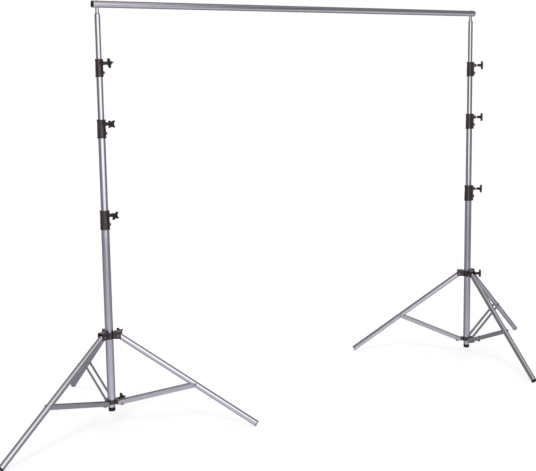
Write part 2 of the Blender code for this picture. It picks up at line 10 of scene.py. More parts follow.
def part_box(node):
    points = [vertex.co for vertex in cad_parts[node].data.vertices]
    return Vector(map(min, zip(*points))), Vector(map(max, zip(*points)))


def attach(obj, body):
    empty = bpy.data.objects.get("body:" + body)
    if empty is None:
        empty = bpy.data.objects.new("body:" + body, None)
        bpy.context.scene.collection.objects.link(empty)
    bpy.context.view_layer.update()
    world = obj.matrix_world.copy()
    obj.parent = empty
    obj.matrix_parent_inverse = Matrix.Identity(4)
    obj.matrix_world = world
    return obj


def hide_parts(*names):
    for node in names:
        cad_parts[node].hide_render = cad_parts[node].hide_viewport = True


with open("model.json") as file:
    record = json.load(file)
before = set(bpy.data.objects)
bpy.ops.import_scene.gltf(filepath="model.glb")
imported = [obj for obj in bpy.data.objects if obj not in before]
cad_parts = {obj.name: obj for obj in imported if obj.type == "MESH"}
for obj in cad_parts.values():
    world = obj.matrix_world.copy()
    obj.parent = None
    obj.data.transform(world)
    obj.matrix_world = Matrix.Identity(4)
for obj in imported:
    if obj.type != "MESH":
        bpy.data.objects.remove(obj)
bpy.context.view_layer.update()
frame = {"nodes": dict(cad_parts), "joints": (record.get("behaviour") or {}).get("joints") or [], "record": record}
joints = {joint["name"]: joint for joint in frame["joints"]}
bodyOfNode = {}
for bodyName, members in frame["record"]["behaviour"]["bodies"].items():
    for member in members:
        bodyOfNode[member] = bodyName
sides = ("left", "right")
print("frame loaded with", len(frame["nodes"]), "nodes")

# General fits and fineness, in metres
general = {
    "gap": 0.0003,           # clearance between parts that slide
    "edge": 0.0003,          # radius of an edge that is only broken
    "cornerSteps": 4,        # steps along each rounded corner
    "cornerShare": 0.45,     # most of a side that one corner may take
    "guard": 0.00015,        # length of the support strip beside a rounded corner
    "guardShare": 0.04,      # most of a side that the strip may take
    "sharpAngle": 35.0,      # edges steeper than this many degrees stay crisp
    "mergeDistance": 1e-6,   # points closer than this become one
    "patternStep": 0.37,     # how far the pattern moves on from one piece to the next
}


# A shape is its points (N x 3), its four-sided faces (M x 4), its many-sided end faces,
# and for each point a wear value from 0 to 1 and the place it had before the shape was moved.
class Shape:
    def __init__(self, points, quads, caps=(), wear=None, local=None):
        self.points = np.asarray(points, float)
        self.quads = np.asarray(quads, int).reshape(-1, 4)
        self.caps = [np.asarray(cap, int) for cap in caps]
        self.wear = np.zeros(len(self.points)) if wear is None else np.asarray(wear, float)
        self.local = self.points if local is None else local

    # each point p becomes matrix p
    def moved(self, matrix):
        rows = np.array(matrix)
        points = self.points @ rows[:3, :3].T + rows[:3, 3]
        return Shape(points, self.quads, self.caps, self.wear, self.local)

    # the place of the parts as it is now becomes the pattern's place too
    def settled(self):
        return Shape(self.points, self.quads, self.caps, self.wear, self.points)


# A grid of rows x sides x 3 points, each row a closed ring: neighbouring rows are joined by
# quads, and the first and last rows are closed by one face each, or joined to each other.
def skin(grid, closed=False, wear=None):
    rows, count = grid.shape[:2]
    index = np.arange(rows * count).reshape(rows, count)
    lower, upper = (index, np.roll(index, -1, 0)) if closed else (index[:-1], index[1:])
    quads = np.stack([lower, np.roll(lower, -1, 1), np.roll(upper, -1, 1), upper], -1)
    caps = [] if closed else [index[0][::-1], index[-1]]
    worn = None if wear is None else np.broadcast_to(wear, (rows, count)).reshape(-1)
    return Shape(grid.reshape(-1, 3), quads.reshape(-1, 4), caps, worn)


# Corners are (a, b, radius). Each becomes an arc that touches both of its sides: centre +
# (start sin((1 - t) w) + end sin(t w)) / sin w, where w is the arc's angle. A guard point on
# either side keeps the straight parts flat. A negative radius is a hollow corner, never worn.
def roundedLine(corners, closed=False):
    spots = np.array([corner[:2] for corner in corners], float)
    lines, worn = [], []
    for index, (across, up, radius) in enumerate(corners):
        here = spots[index]
        if radius == 0 or not (closed or 0 < index < len(corners) - 1):
            lines.append(here[None])
            worn.append(np.zeros(1))
            continue
        before = spots[index - 1] - here
        after = spots[(index + 1) % len(corners)] - here
        reach = min(np.linalg.norm(before), np.linalg.norm(after))
        before, after = before / np.linalg.norm(before), after / np.linalg.norm(after)
        half = 0.5 * math.acos(float(np.clip(before @ after, -1.0, 1.0)))
        touch = min(abs(radius) / math.tan(half), general["cornerShare"] * reach)
        size = touch * math.tan(half)
        middle = here + (before + after) / np.linalg.norm(before + after) * size / math.sin(half)
        sweep = math.pi - 2.0 * half
        start, end = here + touch * before - middle, here + touch * after - middle
        t = np.linspace(0.0, 1.0, general["cornerSteps"] + 1)[:, None]
        arcLine = middle + (np.sin((1 - t) * sweep) * start + np.sin(t * sweep) * end) / math.sin(sweep)
        guard = touch + min(general["guard"], general["guardShare"] * reach)
        lines += [(here + guard * before)[None], arcLine, (here + guard * after)[None]]
        worn += [np.zeros(1), np.sin(np.pi * t[:, 0]) if radius > 0 else np.zeros(len(t)), np.zeros(1)]
    return np.vstack(lines), np.concatenate(worn)


# Points centre + radius (cos t, sin t) for t from start to end degrees
def arcPoints(centre, radius, start, end, steps):
    t = np.radians(np.linspace(start, end, steps + 1))[:, None]
    return np.array(centre) + radius * np.hstack([np.cos(t), np.sin(t)])


# Every profile point (r, z) becomes the ring (r cos t, r sin t, z)
def turned(corners, sideCount=96, closed=False):
    line, wear = roundedLine(corners, closed)
    t = np.linspace(0.0, 2.0 * np.pi, sideCount, endpoint=False)
    radius, height = line[:, :1], line[:, 1:]
    grid = np.stack([radius * np.cos(t), radius * np.sin(t), height + 0.0 * t], -1)
    return skin(grid, closed, wear[:, None])


# Corners (radius, z, corner radius) of a plain tube's wall
def tubeCorners(outer, wall, low, high):
    inner, edge = outer - wall, general["edge"]
    return [(outer, low, edge), (outer, high, edge), (inner, high, edge), (inner, low, edge)]


# The outline moved inwards by a distance, along the normal from the points on either side
def drawnIn(outline, distance):
    along = np.roll(outline, -1, 0) - np.roll(outline, 1, 0)
    area = np.sum(outline[:, 0] * np.roll(outline[:, 1], -1) - np.roll(outline[:, 0], -1) * outline[:, 1])
    inward = np.stack([-along[:, 1], along[:, 0]], -1) * math.copysign(1.0, area)
    inward /= np.linalg.norm(inward, axis=1)[:, None]
    return outline + distance * inward


# An outline of (x, z) points carried along y. Near each face it is drawn in by
# edge (1 - sin a) while y moves by edge (1 - cos a), so both rims are round.
def plate(outline, low, high, edge):
    a = np.linspace(0.0, 0.5 * np.pi, general["cornerSteps"] + 1)
    inset = edge * (1.0 - np.sin(a))
    depth = edge * (1.0 - np.cos(a))
    insets = np.concatenate([[edge + general["guard"]], inset, inset[::-1], [edge + general["guard"]]])
    depths = np.concatenate([[low], low + depth, (high - depth)[::-1], [high]])
    wear = np.concatenate([[0.0], np.sin(2.0 * a), np.sin(2.0 * a)[::-1], [0.0]])
    grid = np.empty((len(insets), len(outline), 3))
    for row, (amount, y) in enumerate(zip(insets, depths)):
        grid[row, :, (0, 2)] = drawnIn(outline, amount).T
        grid[row, :, 1] = y
    return skin(grid, wear=wear[:, None])


# The closed outline through the corners, each of them rounded
def roundedOutline(corners):
    return roundedLine(corners, closed=True)[0]


# A turn by some degrees about an axis through the origin
def spin(degrees, axis="Z"):
    return Matrix.Rotation(math.radians(degrees), 4, axis)


# A move by x, y and z
def shift(x, y, z):
    return Matrix.Translation(Vector((x, y, z)))


# A new object of the scene that holds the data
def linked(name, data):
    thing = bpy.data.objects.new(name, data)
    bpy.context.scene.collection.objects.link(thing)
    return thing


pieceCount = 0


# Joins the shapes into one mesh object at the origin, closes its seams, turns its faces
# outwards, and keeps each point's first place as "local" and its wear as "rub".
def makePiece(name, body, material, shapes, replaced=(), cutters=()):
    global pieceCount
    pieceCount += 1
    mesh = bpy.data.meshes.new(name)
    offsets = np.cumsum([0] + [len(shape.points) for shape in shapes])
    points = np.vstack([shape.points for shape in shapes])
    faces = []
    for offset, shape in zip(offsets, shapes):
        faces += (shape.quads + offset).tolist() + [(cap + offset).tolist() for cap in shape.caps]
    mesh.from_pydata(points.tolist(), [], faces)
    local = np.vstack([shape.local for shape in shapes])
    local[:, 2] += general["patternStep"] * pieceCount
    mesh.attributes.new("local", "FLOAT_VECTOR", "POINT").data.foreach_set("vector", local.ravel())
    wear = np.concatenate([shape.wear for shape in shapes])
    mesh.attributes.new("rub", "FLOAT", "POINT").data.foreach_set("value", wear)
    if cutters:
        mesh = carvedMesh(name, mesh, cutters)
    work = bmesh.new()
    work.from_mesh(mesh)
    bmesh.ops.remove_doubles(work, verts=work.verts, dist=general["mergeDistance"])
    bmesh.ops.recalc_face_normals(work, faces=work.faces)
    work.to_mesh(mesh)
    work.free()
    mesh.shade_smooth()
    mesh.set_sharp_from_angle(angle=math.radians(general["sharpAngle"]))
    mesh.materials.clear()
    mesh.materials.append(material)
    piece = linked(name, mesh)
    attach(piece, body)
    if replaced:
        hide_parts(*replaced)


# The finished piece that stands in for a node, on the node's own body
def dress(node, material, shapes, cutters=()):
    makePiece(node + "_fine", bodyOfNode[node], material, shapes, [node], cutters)


# The mesh with each cutter's shape taken out of it
def carvedMesh(name, mesh, cutters):
    blank = linked(name + "Blank", mesh)
    helpers = []
    for cutter in cutters:
        tool = bpy.data.meshes.new(name + "Cutter")
        faces = cutter.quads.tolist() + [cap.tolist() for cap in cutter.caps]
        tool.from_pydata(cutter.points.tolist(), [], faces)
        helpers.append(linked(name + "Cutter", tool))
        modifier = blank.modifiers.new("Cut", "BOOLEAN")
        modifier.operation = "DIFFERENCE"
        modifier.solver = "EXACT"
        modifier.object = helpers[-1]
    bpy.context.view_layer.update()
    evaluated = blank.evaluated_get(bpy.context.evaluated_depsgraph_get())
    finished = bpy.data.meshes.new_from_object(evaluated)
    for leftover in [blank, *helpers]:
        bpy.data.objects.remove(leftover, do_unlink=True)
    return finished


# Shader maths: the arithmetic signs between wires and numbers add Math nodes
def mathNode(operation, swapped=False):
    # one Math node for one arithmetic sign
    def act(wire, other):
        values = (other, wire) if swapped else (wire, other)
        return wire.board.add("ShaderNodeMath", {"operation": operation}, {0: values[0], 1: values[1]})
    return act


class Wire:
    def __init__(self, board, socket):
        self.board, self.socket = board, socket

    __add__ = __radd__ = mathNode("ADD")
    __mul__ = __rmul__ = mathNode("MULTIPLY")
    __sub__ = mathNode("SUBTRACT")
    __rsub__ = mathNode("SUBTRACT", True)


class Board:
    def __init__(self, owner):
        owner.use_nodes = True
        self.tree = owner.node_tree
        self.tree.nodes.clear()

    # one node: its type, its settings (set first), then the values or wires of its inputs
    def add(self, kind, settings=None, values=None, output=0):
        node = self.tree.nodes.new(kind)
        for key, value in (settings or {}).items():
            setattr(node, key, value)
        for key, value in (values or {}).items():
            if isinstance(value, Wire):
                self.tree.links.new(value.socket, node.inputs[key])
            else:
                node.inputs[key].default_value = value
        return Wire(self, node.outputs[output]) if len(node.outputs) else node

    # where a point was before its shape was moved
    def place(self):
        return self.add("ShaderNodeAttribute", {"attribute_name": "local"}, output=1)

    # how worn a point is, from 0 to 1
    def wear(self):
        return self.add("ShaderNodeAttribute", {"attribute_name": "rub"}, output=2)

    # each axis of the place times its own scale
    def stretched(self, vector, scale):
        return self.add("ShaderNodeVectorMath", {"operation": "MULTIPLY"}, {0: vector, 1: scale})

    # cloudy values from 0 to 1
    def noise(self, vector, scale, detail, roughness):
        values = {"Vector": vector, "Scale": scale, "Detail": detail, "Roughness": roughness}
        return self.add("ShaderNodeTexNoise", None, values)

    # 0 below low, 1 above high, smooth between
    def rise(self, value, low, high):
        values = {"Value": value, "From Min": low, "From Max": high, "To Min": 0.0, "To Max": 1.0}
        return self.add("ShaderNodeMapRange", {"interpolation_type": "SMOOTHSTEP"}, values)

    # (1 - factor) first + factor second
    def blend(self, factor, first, second):
        return self.add("ShaderNodeMix", {"data_type": "RGBA"}, {0: factor, 6: first, 7: second}, 2)

    # the surface's normal tilted by the slope of a height
    def bump(self, height, strength, distance):
        values = {"Height": height, "Strength": strength, "Distance": distance}
        return self.add("ShaderNodeBump", None, values)

    # the shader that the material ends in
    def finish(self, kind, values):
        self.add("ShaderNodeOutputMaterial", None, {"Surface": self.add(kind, None, values)})


# A new material, and the board that its nodes stand on
def newBoard(name):
    material = bpy.data.materials.new(name)
    return material, Board(material)


# One value for red, green and blue
def gray(value):
    return (value, value, value, 1.0)


# Aluminium drawn through a die: fine lines along the part, cloudy anodising, handling marks
def drawnAluminium(name, look):
    material, board = newBoard(name)
    place = board.place()
    streak = board.noise(board.stretched(place, look["streakStretch"]), *look["streakNoise"])
    hair = board.noise(board.stretched(place, look["hairStretch"]), *look["hairNoise"])
    cloud = board.noise(place, *look["cloudNoise"])
    smudge = board.rise(board.noise(place, *look["smudgeNoise"]), *look["smudgeRange"])
    scuff = board.noise(board.stretched(place, look["scuffStretch"]), *look["scuffNoise"])
    scuff = board.rise(scuff, *look["scuffRange"])
    tone = board.blend(board.rise(cloud, *look["cloudRange"]), look["colour"], look["cloudColour"])
    lines = board.rise(streak, *look["streakRange"]) * look["streakDepth"]
    tone = board.blend(lines, tone, look["lineColour"])
    bare = scuff * look["scuffShare"] + board.wear() * look["wearShare"]
    tone = board.blend(bare, tone, look["bareColour"])
    roughness = look["roughness"] + (streak - 0.5) * look["roughSpread"] + smudge * look["smudgeRough"]
    roughness = roughness - board.wear() * look["wearRough"]
    height = streak * look["streakHeight"] + hair * look["hairHeight"] - scuff * look["scuffHeight"]
    board.finish("ShaderNodeBsdfPrincipled", {
        "Base Color": tone, "Roughness": roughness, "Metallic": 1.0,
        "Normal": board.bump(height, look["bumpStrength"], look["bumpDistance"]),
    })
    return material


# In every look a noise is (scale, detail, roughness), and a range is where its mask rises
tubeLook = {
    "colour": (0.745, 0.715, 0.775, 1.0),
    "cloudColour": (0.710, 0.680, 0.742, 1.0),
    "lineColour": (0.630, 0.600, 0.662, 1.0),
    "bareColour": (0.830, 0.812, 0.840, 1.0),
    "streakStretch": (900.0, 900.0, 9.0), "streakNoise": (1.0, 4.0, 0.6), "streakRange": (0.25, 0.75),
    "hairStretch": (3600.0, 3600.0, 60.0), "hairNoise": (1.0, 2.0, 0.5),
    "cloudNoise": (22.0, 3.0, 0.6), "cloudRange": (0.32, 0.68),
    "smudgeNoise": (34.0, 5.0, 0.65), "smudgeRange": (0.52, 0.72),
    "scuffStretch": (160.0, 160.0, 700.0), "scuffNoise": (1.0, 3.0, 0.5), "scuffRange": (0.66, 0.74),
    "streakDepth": 0.35, "scuffShare": 0.35, "wearShare": 0.30,
    "roughness": 0.165, "roughSpread": 0.08, "smudgeRough": 0.07, "wearRough": 0.05,
    "streakHeight": 0.6, "hairHeight": 0.4, "scuffHeight": 0.5,
    "bumpStrength": 0.10, "bumpDistance": 0.00008,
}
tubeMetal = drawnAluminium("lilacSatinTube", tubeLook)

stripLook = dict(tubeLook)
stripLook.update({
    "colour": (0.690, 0.680, 0.715, 1.0),
    "cloudColour": (0.640, 0.632, 0.660, 1.0),
    "lineColour": (0.540, 0.530, 0.560, 1.0),
    "streakStretch": (11.0, 900.0, 900.0),
    "hairStretch": (70.0, 3600.0, 3600.0),
    "scuffStretch": (120.0, 500.0, 160.0),
    "streakDepth": 0.45, "roughness": 0.36,
})
stripMetal = drawnAluminium("satinFlatStrip", stripLook)


# Turned and plated steel: fine rings round the axis, slightly darker where it was machined
def turnedSteel(name, look):
    material, board = newBoard(name)
    place = board.place()
    ring = board.noise(board.stretched(place, look["ringStretch"]), *look["ringNoise"])
    cloud = board.noise(place, *look["cloudNoise"])
    tone = board.blend(board.rise(cloud, *look["cloudRange"]), look["colour"], look["cloudColour"])
    tone = board.blend(board.wear() * look["wearShare"], tone, look["bareColour"])
    roughness = look["roughness"] + (ring - 0.5) * look["ringRough"] + (cloud - 0.5) * look["cloudRough"]
    board.finish("ShaderNodeBsdfPrincipled", {
        "Base Color": tone, "Roughness": roughness, "Metallic": 1.0,
        "Normal": board.bump(ring, look["bumpStrength"], look["bumpDistance"]),
    })
    return material


steelLook = {
    "colour": (0.740, 0.735, 0.725, 1.0),
    "cloudColour": (0.660, 0.655, 0.650, 1.0),
    "bareColour": (0.850, 0.845, 0.840, 1.0),
    "ringStretch": (40.0, 40.0, 2600.0), "ringNoise": (1.0, 3.0, 0.6),
    "cloudNoise": (260.0, 3.0, 0.6), "cloudRange": (0.30, 0.70), "wearShare": 0.5,
    "roughness": 0.30, "ringRough": 0.16, "cloudRough": 0.08,
    "bumpStrength": 0.18, "bumpDistance": 0.00006,
}
spigotSteel = turnedSteel("brushedSpigotSteel", steelLook)

rivetLook = dict(steelLook)
rivetLook.update({
    "colour": (0.340, 0.340, 0.325, 1.0),
    "cloudColour": (0.270, 0.270, 0.260, 1.0),
    "bareColour": (0.480, 0.475, 0.460, 1.0),
    "roughness": 0.38,
})
rivetSteel = turnedSteel("domedRivetSteel", rivetLook)

threadLook = dict(steelLook)
threadLook.update({
    "colour": (0.42, 0.41, 0.40, 1.0),
    "cloudColour": (0.32, 0.31, 0.30, 1.0),
    "roughness": 0.33,
})
threadSteel = turnedSteel("zincScrewSteel", threadLook)


# Black moulded nylon: spark-eroded grain, faint flow marks, rims rubbed paler, dust in the grain
def mouldedNylon(name, look):
    material, board = newBoard(name)
    place = board.place()
    grain = board.noise(place, *look["grainNoise"])
    pores = board.rise(board.noise(place, *look["poreNoise"]), *look["poreRange"])
    flow = board.noise(board.stretched(place, look["flowStretch"]), *look["flowNoise"])
    dust = board.rise(board.noise(place, *look["dustNoise"]), *look["dustRange"])
    tone = board.blend(board.rise(flow, *look["flowRange"]), look["colour"], look["flowColour"])
    tone = board.blend(dust * look["dustAmount"], tone, look["dustColour"])
    rubbed = board.wear() * (look["rubBase"] + grain) * look["rubAmount"]
    tone = board.blend(rubbed, tone, look["rubColour"])
    roughness = look["roughness"] + (grain - 0.5) * look["grainRough"] + dust * look["dustRough"]
    roughness = roughness - board.wear() * look["rubRough"]
    height = grain * look["grainHeight"] - pores * look["poreHeight"] + flow * look["flowHeight"]
    board.finish("ShaderNodeBsdfPrincipled", {
        "Base Color": tone, "Roughness": roughness, "Metallic": 0.0,
        "Specular IOR Level": look["gloss"], "Specular Tint": look["glossTint"],
        "Normal": board.bump(height, look["bumpStrength"], look["bumpDistance"]),
    })
    return material


nylonLook = {
    "colour": (0.0165, 0.0125, 0.0142, 1.0),
    "flowColour": (0.0225, 0.0170, 0.0192, 1.0),
    "dustColour": (0.075, 0.068, 0.070, 1.0),
    "rubColour": (0.110, 0.102, 0.104, 1.0),
    "grainNoise": (2400.0, 3.0, 0.6),
    "poreNoise": (5200.0, 2.0, 0.5), "poreRange": (0.60, 0.72),
    "flowStretch": (60.0, 60.0, 25.0), "flowNoise": (1.0, 4.0, 0.6), "flowRange": (0.30, 0.70),
    "dustNoise": (130.0, 5.0, 0.7), "dustRange": (0.50, 0.78), "dustAmount": 0.10,
    "rubBase": 0.25, "rubAmount": 0.30,
    "roughness": 0.34, "grainRough": 0.18, "dustRough": 0.10, "rubRough": 0.08,
    "gloss": 0.95, "glossTint": (1.0, 0.84, 0.92, 1.0),
    "grainHeight": 0.7, "poreHeight": 0.5, "flowHeight": 0.15,
    "bumpStrength": 0.35, "bumpDistance": 0.00012,
}
collarNylon = mouldedNylon("blackCollarNylon", nylonLook)

knobLook = dict(nylonLook)
knobLook.update({
    "colour": (0.0125, 0.0128, 0.0115, 1.0),
    "flowColour": (0.0165, 0.0168, 0.0155, 1.0),
    "roughness": 0.46, "gloss": 0.45, "glossTint": (1.0, 1.0, 0.97, 1.0),
})
knobNylon = mouldedNylon("blackKnobNylon", knobLook)

rubberLook = dict(nylonLook)
rubberLook.update({
    "colour": (0.0135, 0.0130, 0.0132, 1.0),
    "flowColour": (0.0190, 0.0182, 0.0184, 1.0),
    "grainNoise": (1500.0, 3.0, 0.6), "dustAmount": 0.25,
    "roughness": 0.60, "gloss": 0.35, "glossTint": (1.0, 0.98, 1.0, 1.0),
    "bumpStrength": 0.45,
})
endRubber = mouldedNylon("mattEndRubber", rubberLook)
print("materials made")


# Where each stand is: its axis, and the heights of the CAD nodes
def boxOf(node):
    low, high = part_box(node)
    return np.array(low), np.array(high)


# A column's axis: half way between the sides of its tube's box
def axisOf(side):
    low, high = boxOf(side + "_column_tube")
    return 0.5 * (low[0] + high[0]), 0.5 * (low[1] + high[1])


# A joint's place
def spotOf(jointName):
    return joints[jointName]["pos_m"]


# A joint's direction seen from above, atan2(y, x), in degrees
def bearing(jointName):
    axis = joints[jointName]["axis"]
    return math.degrees(math.atan2(axis[1], axis[0]))


# Column: the tube, drawn in to a stub at its foot, and the black cap on the stub
column = {
    "radius": 0.0175, "wall": 0.0014, "stubRadius": 0.0155, "stubVisible": 0.015,
    "neckHeight": 0.0022, "neckCurve": 0.0012, "boreCurve": 0.0008,
    "capRadius": 0.0153, "capHeight": 0.018, "capCorner": 0.0030, "capEdge": 0.0004,
    "capShank": 0.012, "shankEdge": 0.0006, "shankHole": 0.0030,
    "hollow": (0.0084, 0.0092), "hollowDepth": 0.0010, "hollowCurve": 0.0005, "gateRadius": 0.0015,
    "grooveDrop": 0.0034, "grooveWidth": 0.0014, "grooveSlope": 0.0004, "grooveDepth": 0.0005,
    "grooveCurve": 0.0002,
}


# Both walls as one profile turned about z: stub, conical neck, straight tube
def columnShape(length):
    c, edge = column, general["edge"]
    stubLow = c["capHeight"] + general["gap"]
    neckTop = c["capHeight"] + c["stubVisible"]
    neckLow = neckTop - c["neckHeight"]
    bore, stubBore = c["radius"] - c["wall"], c["stubRadius"] - c["wall"]
    return turned([
        (c["stubRadius"], stubLow, edge), (c["stubRadius"], neckLow, -c["neckCurve"]),
        (c["radius"], neckTop, c["neckCurve"]), (c["radius"], length, edge), (bore, length, edge),
        (bore, neckTop, c["boreCurve"]), (stubBore, neckLow, -c["boreCurve"]), (stubBore, stubLow, edge),
    ], closed=True)


# A profile turned about z: hollow face, grooved side, and the shank inside the stub
def columnCapShape():
    c, edge = column, general["edge"]
    shank, shankTop = c["stubRadius"] - c["wall"] - general["gap"], c["capHeight"] + c["capShank"]
    grooveLow = c["capHeight"] - c["grooveDrop"]
    grooveHigh = grooveLow + c["grooveWidth"]
    grooveFloor = c["capRadius"] - c["grooveDepth"]
    return turned([
        (c["gateRadius"], c["hollowDepth"], 0), (c["hollow"][0], c["hollowDepth"], -c["capEdge"]),
        (c["hollow"][1], 0.0, c["hollowCurve"]), (c["capRadius"], 0.0, c["capCorner"]),
        (c["capRadius"], grooveLow, edge), (grooveFloor, grooveLow + c["grooveSlope"], -c["grooveCurve"]),
        (grooveFloor, grooveHigh - c["grooveSlope"], -c["grooveCurve"]), (c["capRadius"], grooveHigh, edge),
        (c["capRadius"], c["capHeight"], c["capEdge"]), (shank, c["capHeight"], 0),
        (shank, shankTop, c["shankEdge"]), (c["shankHole"], shankTop, 0),
    ])


for side in sides:
    x, y = axisOf(side)
    foot = boxOf(side + "_column_end_cap")[0][2]
    top = boxOf(side + "_column_tube")[1][2]
    place = shift(x, y, foot)
    dress(side + "_column_tube", tubeMetal, [columnShape(top - foot).moved(place)])
    dress(side + "_column_end_cap", endRubber, [columnCapShape().moved(place)])
print("columns made")

# Risers: three nested tubes above each column
riser = {"wall": 0.0012, "radius": {"lower": 0.0155, "middle": 0.0135, "upper": 0.01175}}
for side in sides:
    x, y = axisOf(side)
    for which, radius in riser["radius"].items():
        node = f"{side}_{which}_riser"
        low, high = boxOf(node)
        shape = turned(tubeCorners(radius, riser["wall"], low[2] - high[2], 0.0), closed=True)
        dress(node, tubeMetal, [shape.moved(shift(x, y, high[2]))])
print("risers made")

# Boss for a knob's screw, along +X from a round wall
boss = {
    "length": 0.0165, "rootRadius": 0.0093, "tipRadius": 0.0075, "tipEdge": 0.0009,
    "holeRadius": 0.0029, "holeDepth": 0.004, "flare": 0.0024, "sunk": 0.0008,
    "filletRise": 0.0006, "filletOut": 0.0001, "fillet": 0.0020, "saddleReach": 0.95,
}


# Rings round +X at distance d and height h over a wall of radius R. The height rides down the
# wall as R - sqrt(R^2 - (d cos t)^2), weighted from 1 at the root to 0 half way up.
def saddleBoss(wallRadius, corners, sideCount=64):
    line, wear = roundedLine(corners)
    t = np.linspace(0.0, 2.0 * np.pi, sideCount, endpoint=False)
    away, height = line[:, :1], line[:, 1:]
    top = max(corner[1] for corner in corners)
    follow = np.clip(1.0 - height / (0.5 * top), 0.0, 1.0)
    sideways = np.minimum(away * np.abs(np.cos(t)), boss["saddleReach"] * wallRadius)
    drop = wallRadius - np.sqrt(wallRadius ** 2 - sideways ** 2)
    grid = np.stack([wallRadius + height - follow * drop, away * np.cos(t), away * np.sin(t)], -1)
    return skin(grid, wear=wear[:, None])


# A saddle boss that narrows evenly to its tip, where the screw's hole is
def knobBoss(wallRadius):
    b = boss
    return saddleBoss(wallRadius, [
        (b["rootRadius"] + b["flare"], -b["sunk"], 0),
        (b["rootRadius"] + b["filletOut"], b["filletRise"], -b["fillet"]),
        (b["tipRadius"], b["length"], b["tipEdge"]), (b["holeRadius"], b["length"], general["edge"]),
        (b["holeRadius"], b["length"] - b["holeDepth"], 0),
    ])


# Clamp collars: a two-step sleeve with lips, an upright rib, the knob's boss and a screw boss
clamp = {
    "height": {"lower": 0.082, "middle": 0.079, "upper": 0.075},
    "gripRadius": {"lower": 0.0175, "middle": 0.0155, "upper": 0.0135},
    "guideRadius": {"lower": 0.0155, "middle": 0.0135, "upper": 0.01175},
    "wall": 0.003, "gripShare": 0.55, "knobDrop": 0.018, "screwDrop": 0.0575, "sides": 144,
    "lip": 0.0009, "lipHeight": 0.0056, "lipEnd": 0.0074, "lipCurves": (0.0007, 0.0006),
    "topLip": 0.0005, "topLipHeight": 0.0060, "topLipEnd": 0.0082, "topLipCurves": (0.0005, 0.0008),
    "lipFillet": 0.0010, "step": 0.0006, "stepHeight": 0.0010, "smallCurve": 0.0004,
}


# The sleeve's profile turned about z, with the rib and two bosses along +X
def clampShapes(which):
    c, edge, gap = clamp, general["edge"], general["gap"]
    height = c["height"][which]
    bore, guide = c["gripRadius"][which] + gap, c["guideRadius"][which] + gap
    wall = c["gripRadius"][which] + c["wall"]
    lip, topLip, upper = wall + c["lip"], wall + c["topLip"], wall - c["step"]
    shoulder = c["gripShare"] * height
    sleeve = turned([
        (bore, 0.0, edge), (lip, 0.0, c["lipCurves"][0]), (lip, c["lipHeight"], c["lipCurves"][1]),
        (wall, c["lipEnd"], -c["lipFillet"]), (wall, shoulder, c["smallCurve"]),
        (upper, shoulder + c["stepHeight"], -c["smallCurve"]),
        (upper, height - c["topLipEnd"], -c["lipFillet"]),
        (topLip, height - c["topLipHeight"], c["topLipCurves"][0]), (topLip, height, c["topLipCurves"][1]),
        (guide, height, c["smallCurve"]), (guide, shoulder, 0.0), (bore, shoulder, 0.0),
    ], sideCount=c["sides"], closed=True)
    return [sleeve, clampRib(wall, height), knobBoss(wall).moved(shift(0, 0, height - c["knobDrop"])),
            screwBossShape(wall).moved(shift(0, 0, height - c["screwDrop"]))]


rib = {
    "halfWidth": 0.0028, "proud": 0.0054, "endProud": 0.0009, "edge": 0.0009, "inset": 0.0004,
    "lowSlope": 0.0022, "topSlope": 0.0024, "footCurve": 0.0012, "headCurve": 0.0014,
    "endCurve": 0.0010, "crestCurve": 0.0020,
}


# Upright rib along +X whose two ends stand out a little, level with the sleeve's lips
def clampRib(wall, height):
    r = rib
    root, crest = wall - 0.5 * clamp["wall"], wall + r["proud"]
    end = crest + r["endProud"]
    lipTop, topLip = clamp["lipHeight"], height - clamp["topLipHeight"]
    outline = roundedOutline([
        (root, r["inset"], 0), (end, r["inset"], r["footCurve"]), (end, lipTop, r["endCurve"]),
        (crest, lipTop + r["lowSlope"], r["crestCurve"]), (crest, topLip - r["topSlope"], r["crestCurve"]),
        (end, topLip, r["endCurve"]), (end, height - r["inset"], r["headCurve"]),
        (root, height - r["inset"], 0),
    ])
    return plate(outline, -r["halfWidth"], r["halfWidth"], r["edge"])


screwBoss = {
    "radius": 0.0068, "proud": 0.0110, "edge": 0.0008, "taper": 0.0003, "flare": 0.0016, "sunk": 0.0006,
    "filletRise": 0.0005, "fillet": 0.0012, "recessRadius": 0.0047, "recessFoot": 0.0045,
    "recessDepth": 0.0012, "recessCurve": 0.0002, "centre": 0.0010, "sides": 48,
}


# A saddle boss with a shallow round recess in its end
def screwBossShape(wall):
    s = screwBoss
    recess = s["proud"] - s["recessDepth"]
    return saddleBoss(wall, [
        (s["radius"] + s["flare"], -s["sunk"], 0), (s["radius"], s["filletRise"], -s["fillet"]),
        (s["radius"] - s["taper"], s["proud"], s["edge"]), (s["recessRadius"], s["proud"], general["edge"]),
        (s["recessFoot"], recess, -s["recessCurve"]), (s["centre"], recess, 0),
    ], sideCount=s["sides"])


crossScrew = {
    "radius": 0.0041, "crown": 0.0016, "dome": 1.6, "rimDrop": 0.0006, "depth": 0.0011,
    "armHalfWidth": 0.00055, "armReach": 0.0024, "sideSlope": 0.00015, "endSlope": 0.0004,
    "centreShare": 0.03, "ringShares": (0.08, 0.96), "rings": 20, "rimShare": 0.985, "sides": 72,
    "firstTurn": 20.0, "turnStep": 50.0,
}


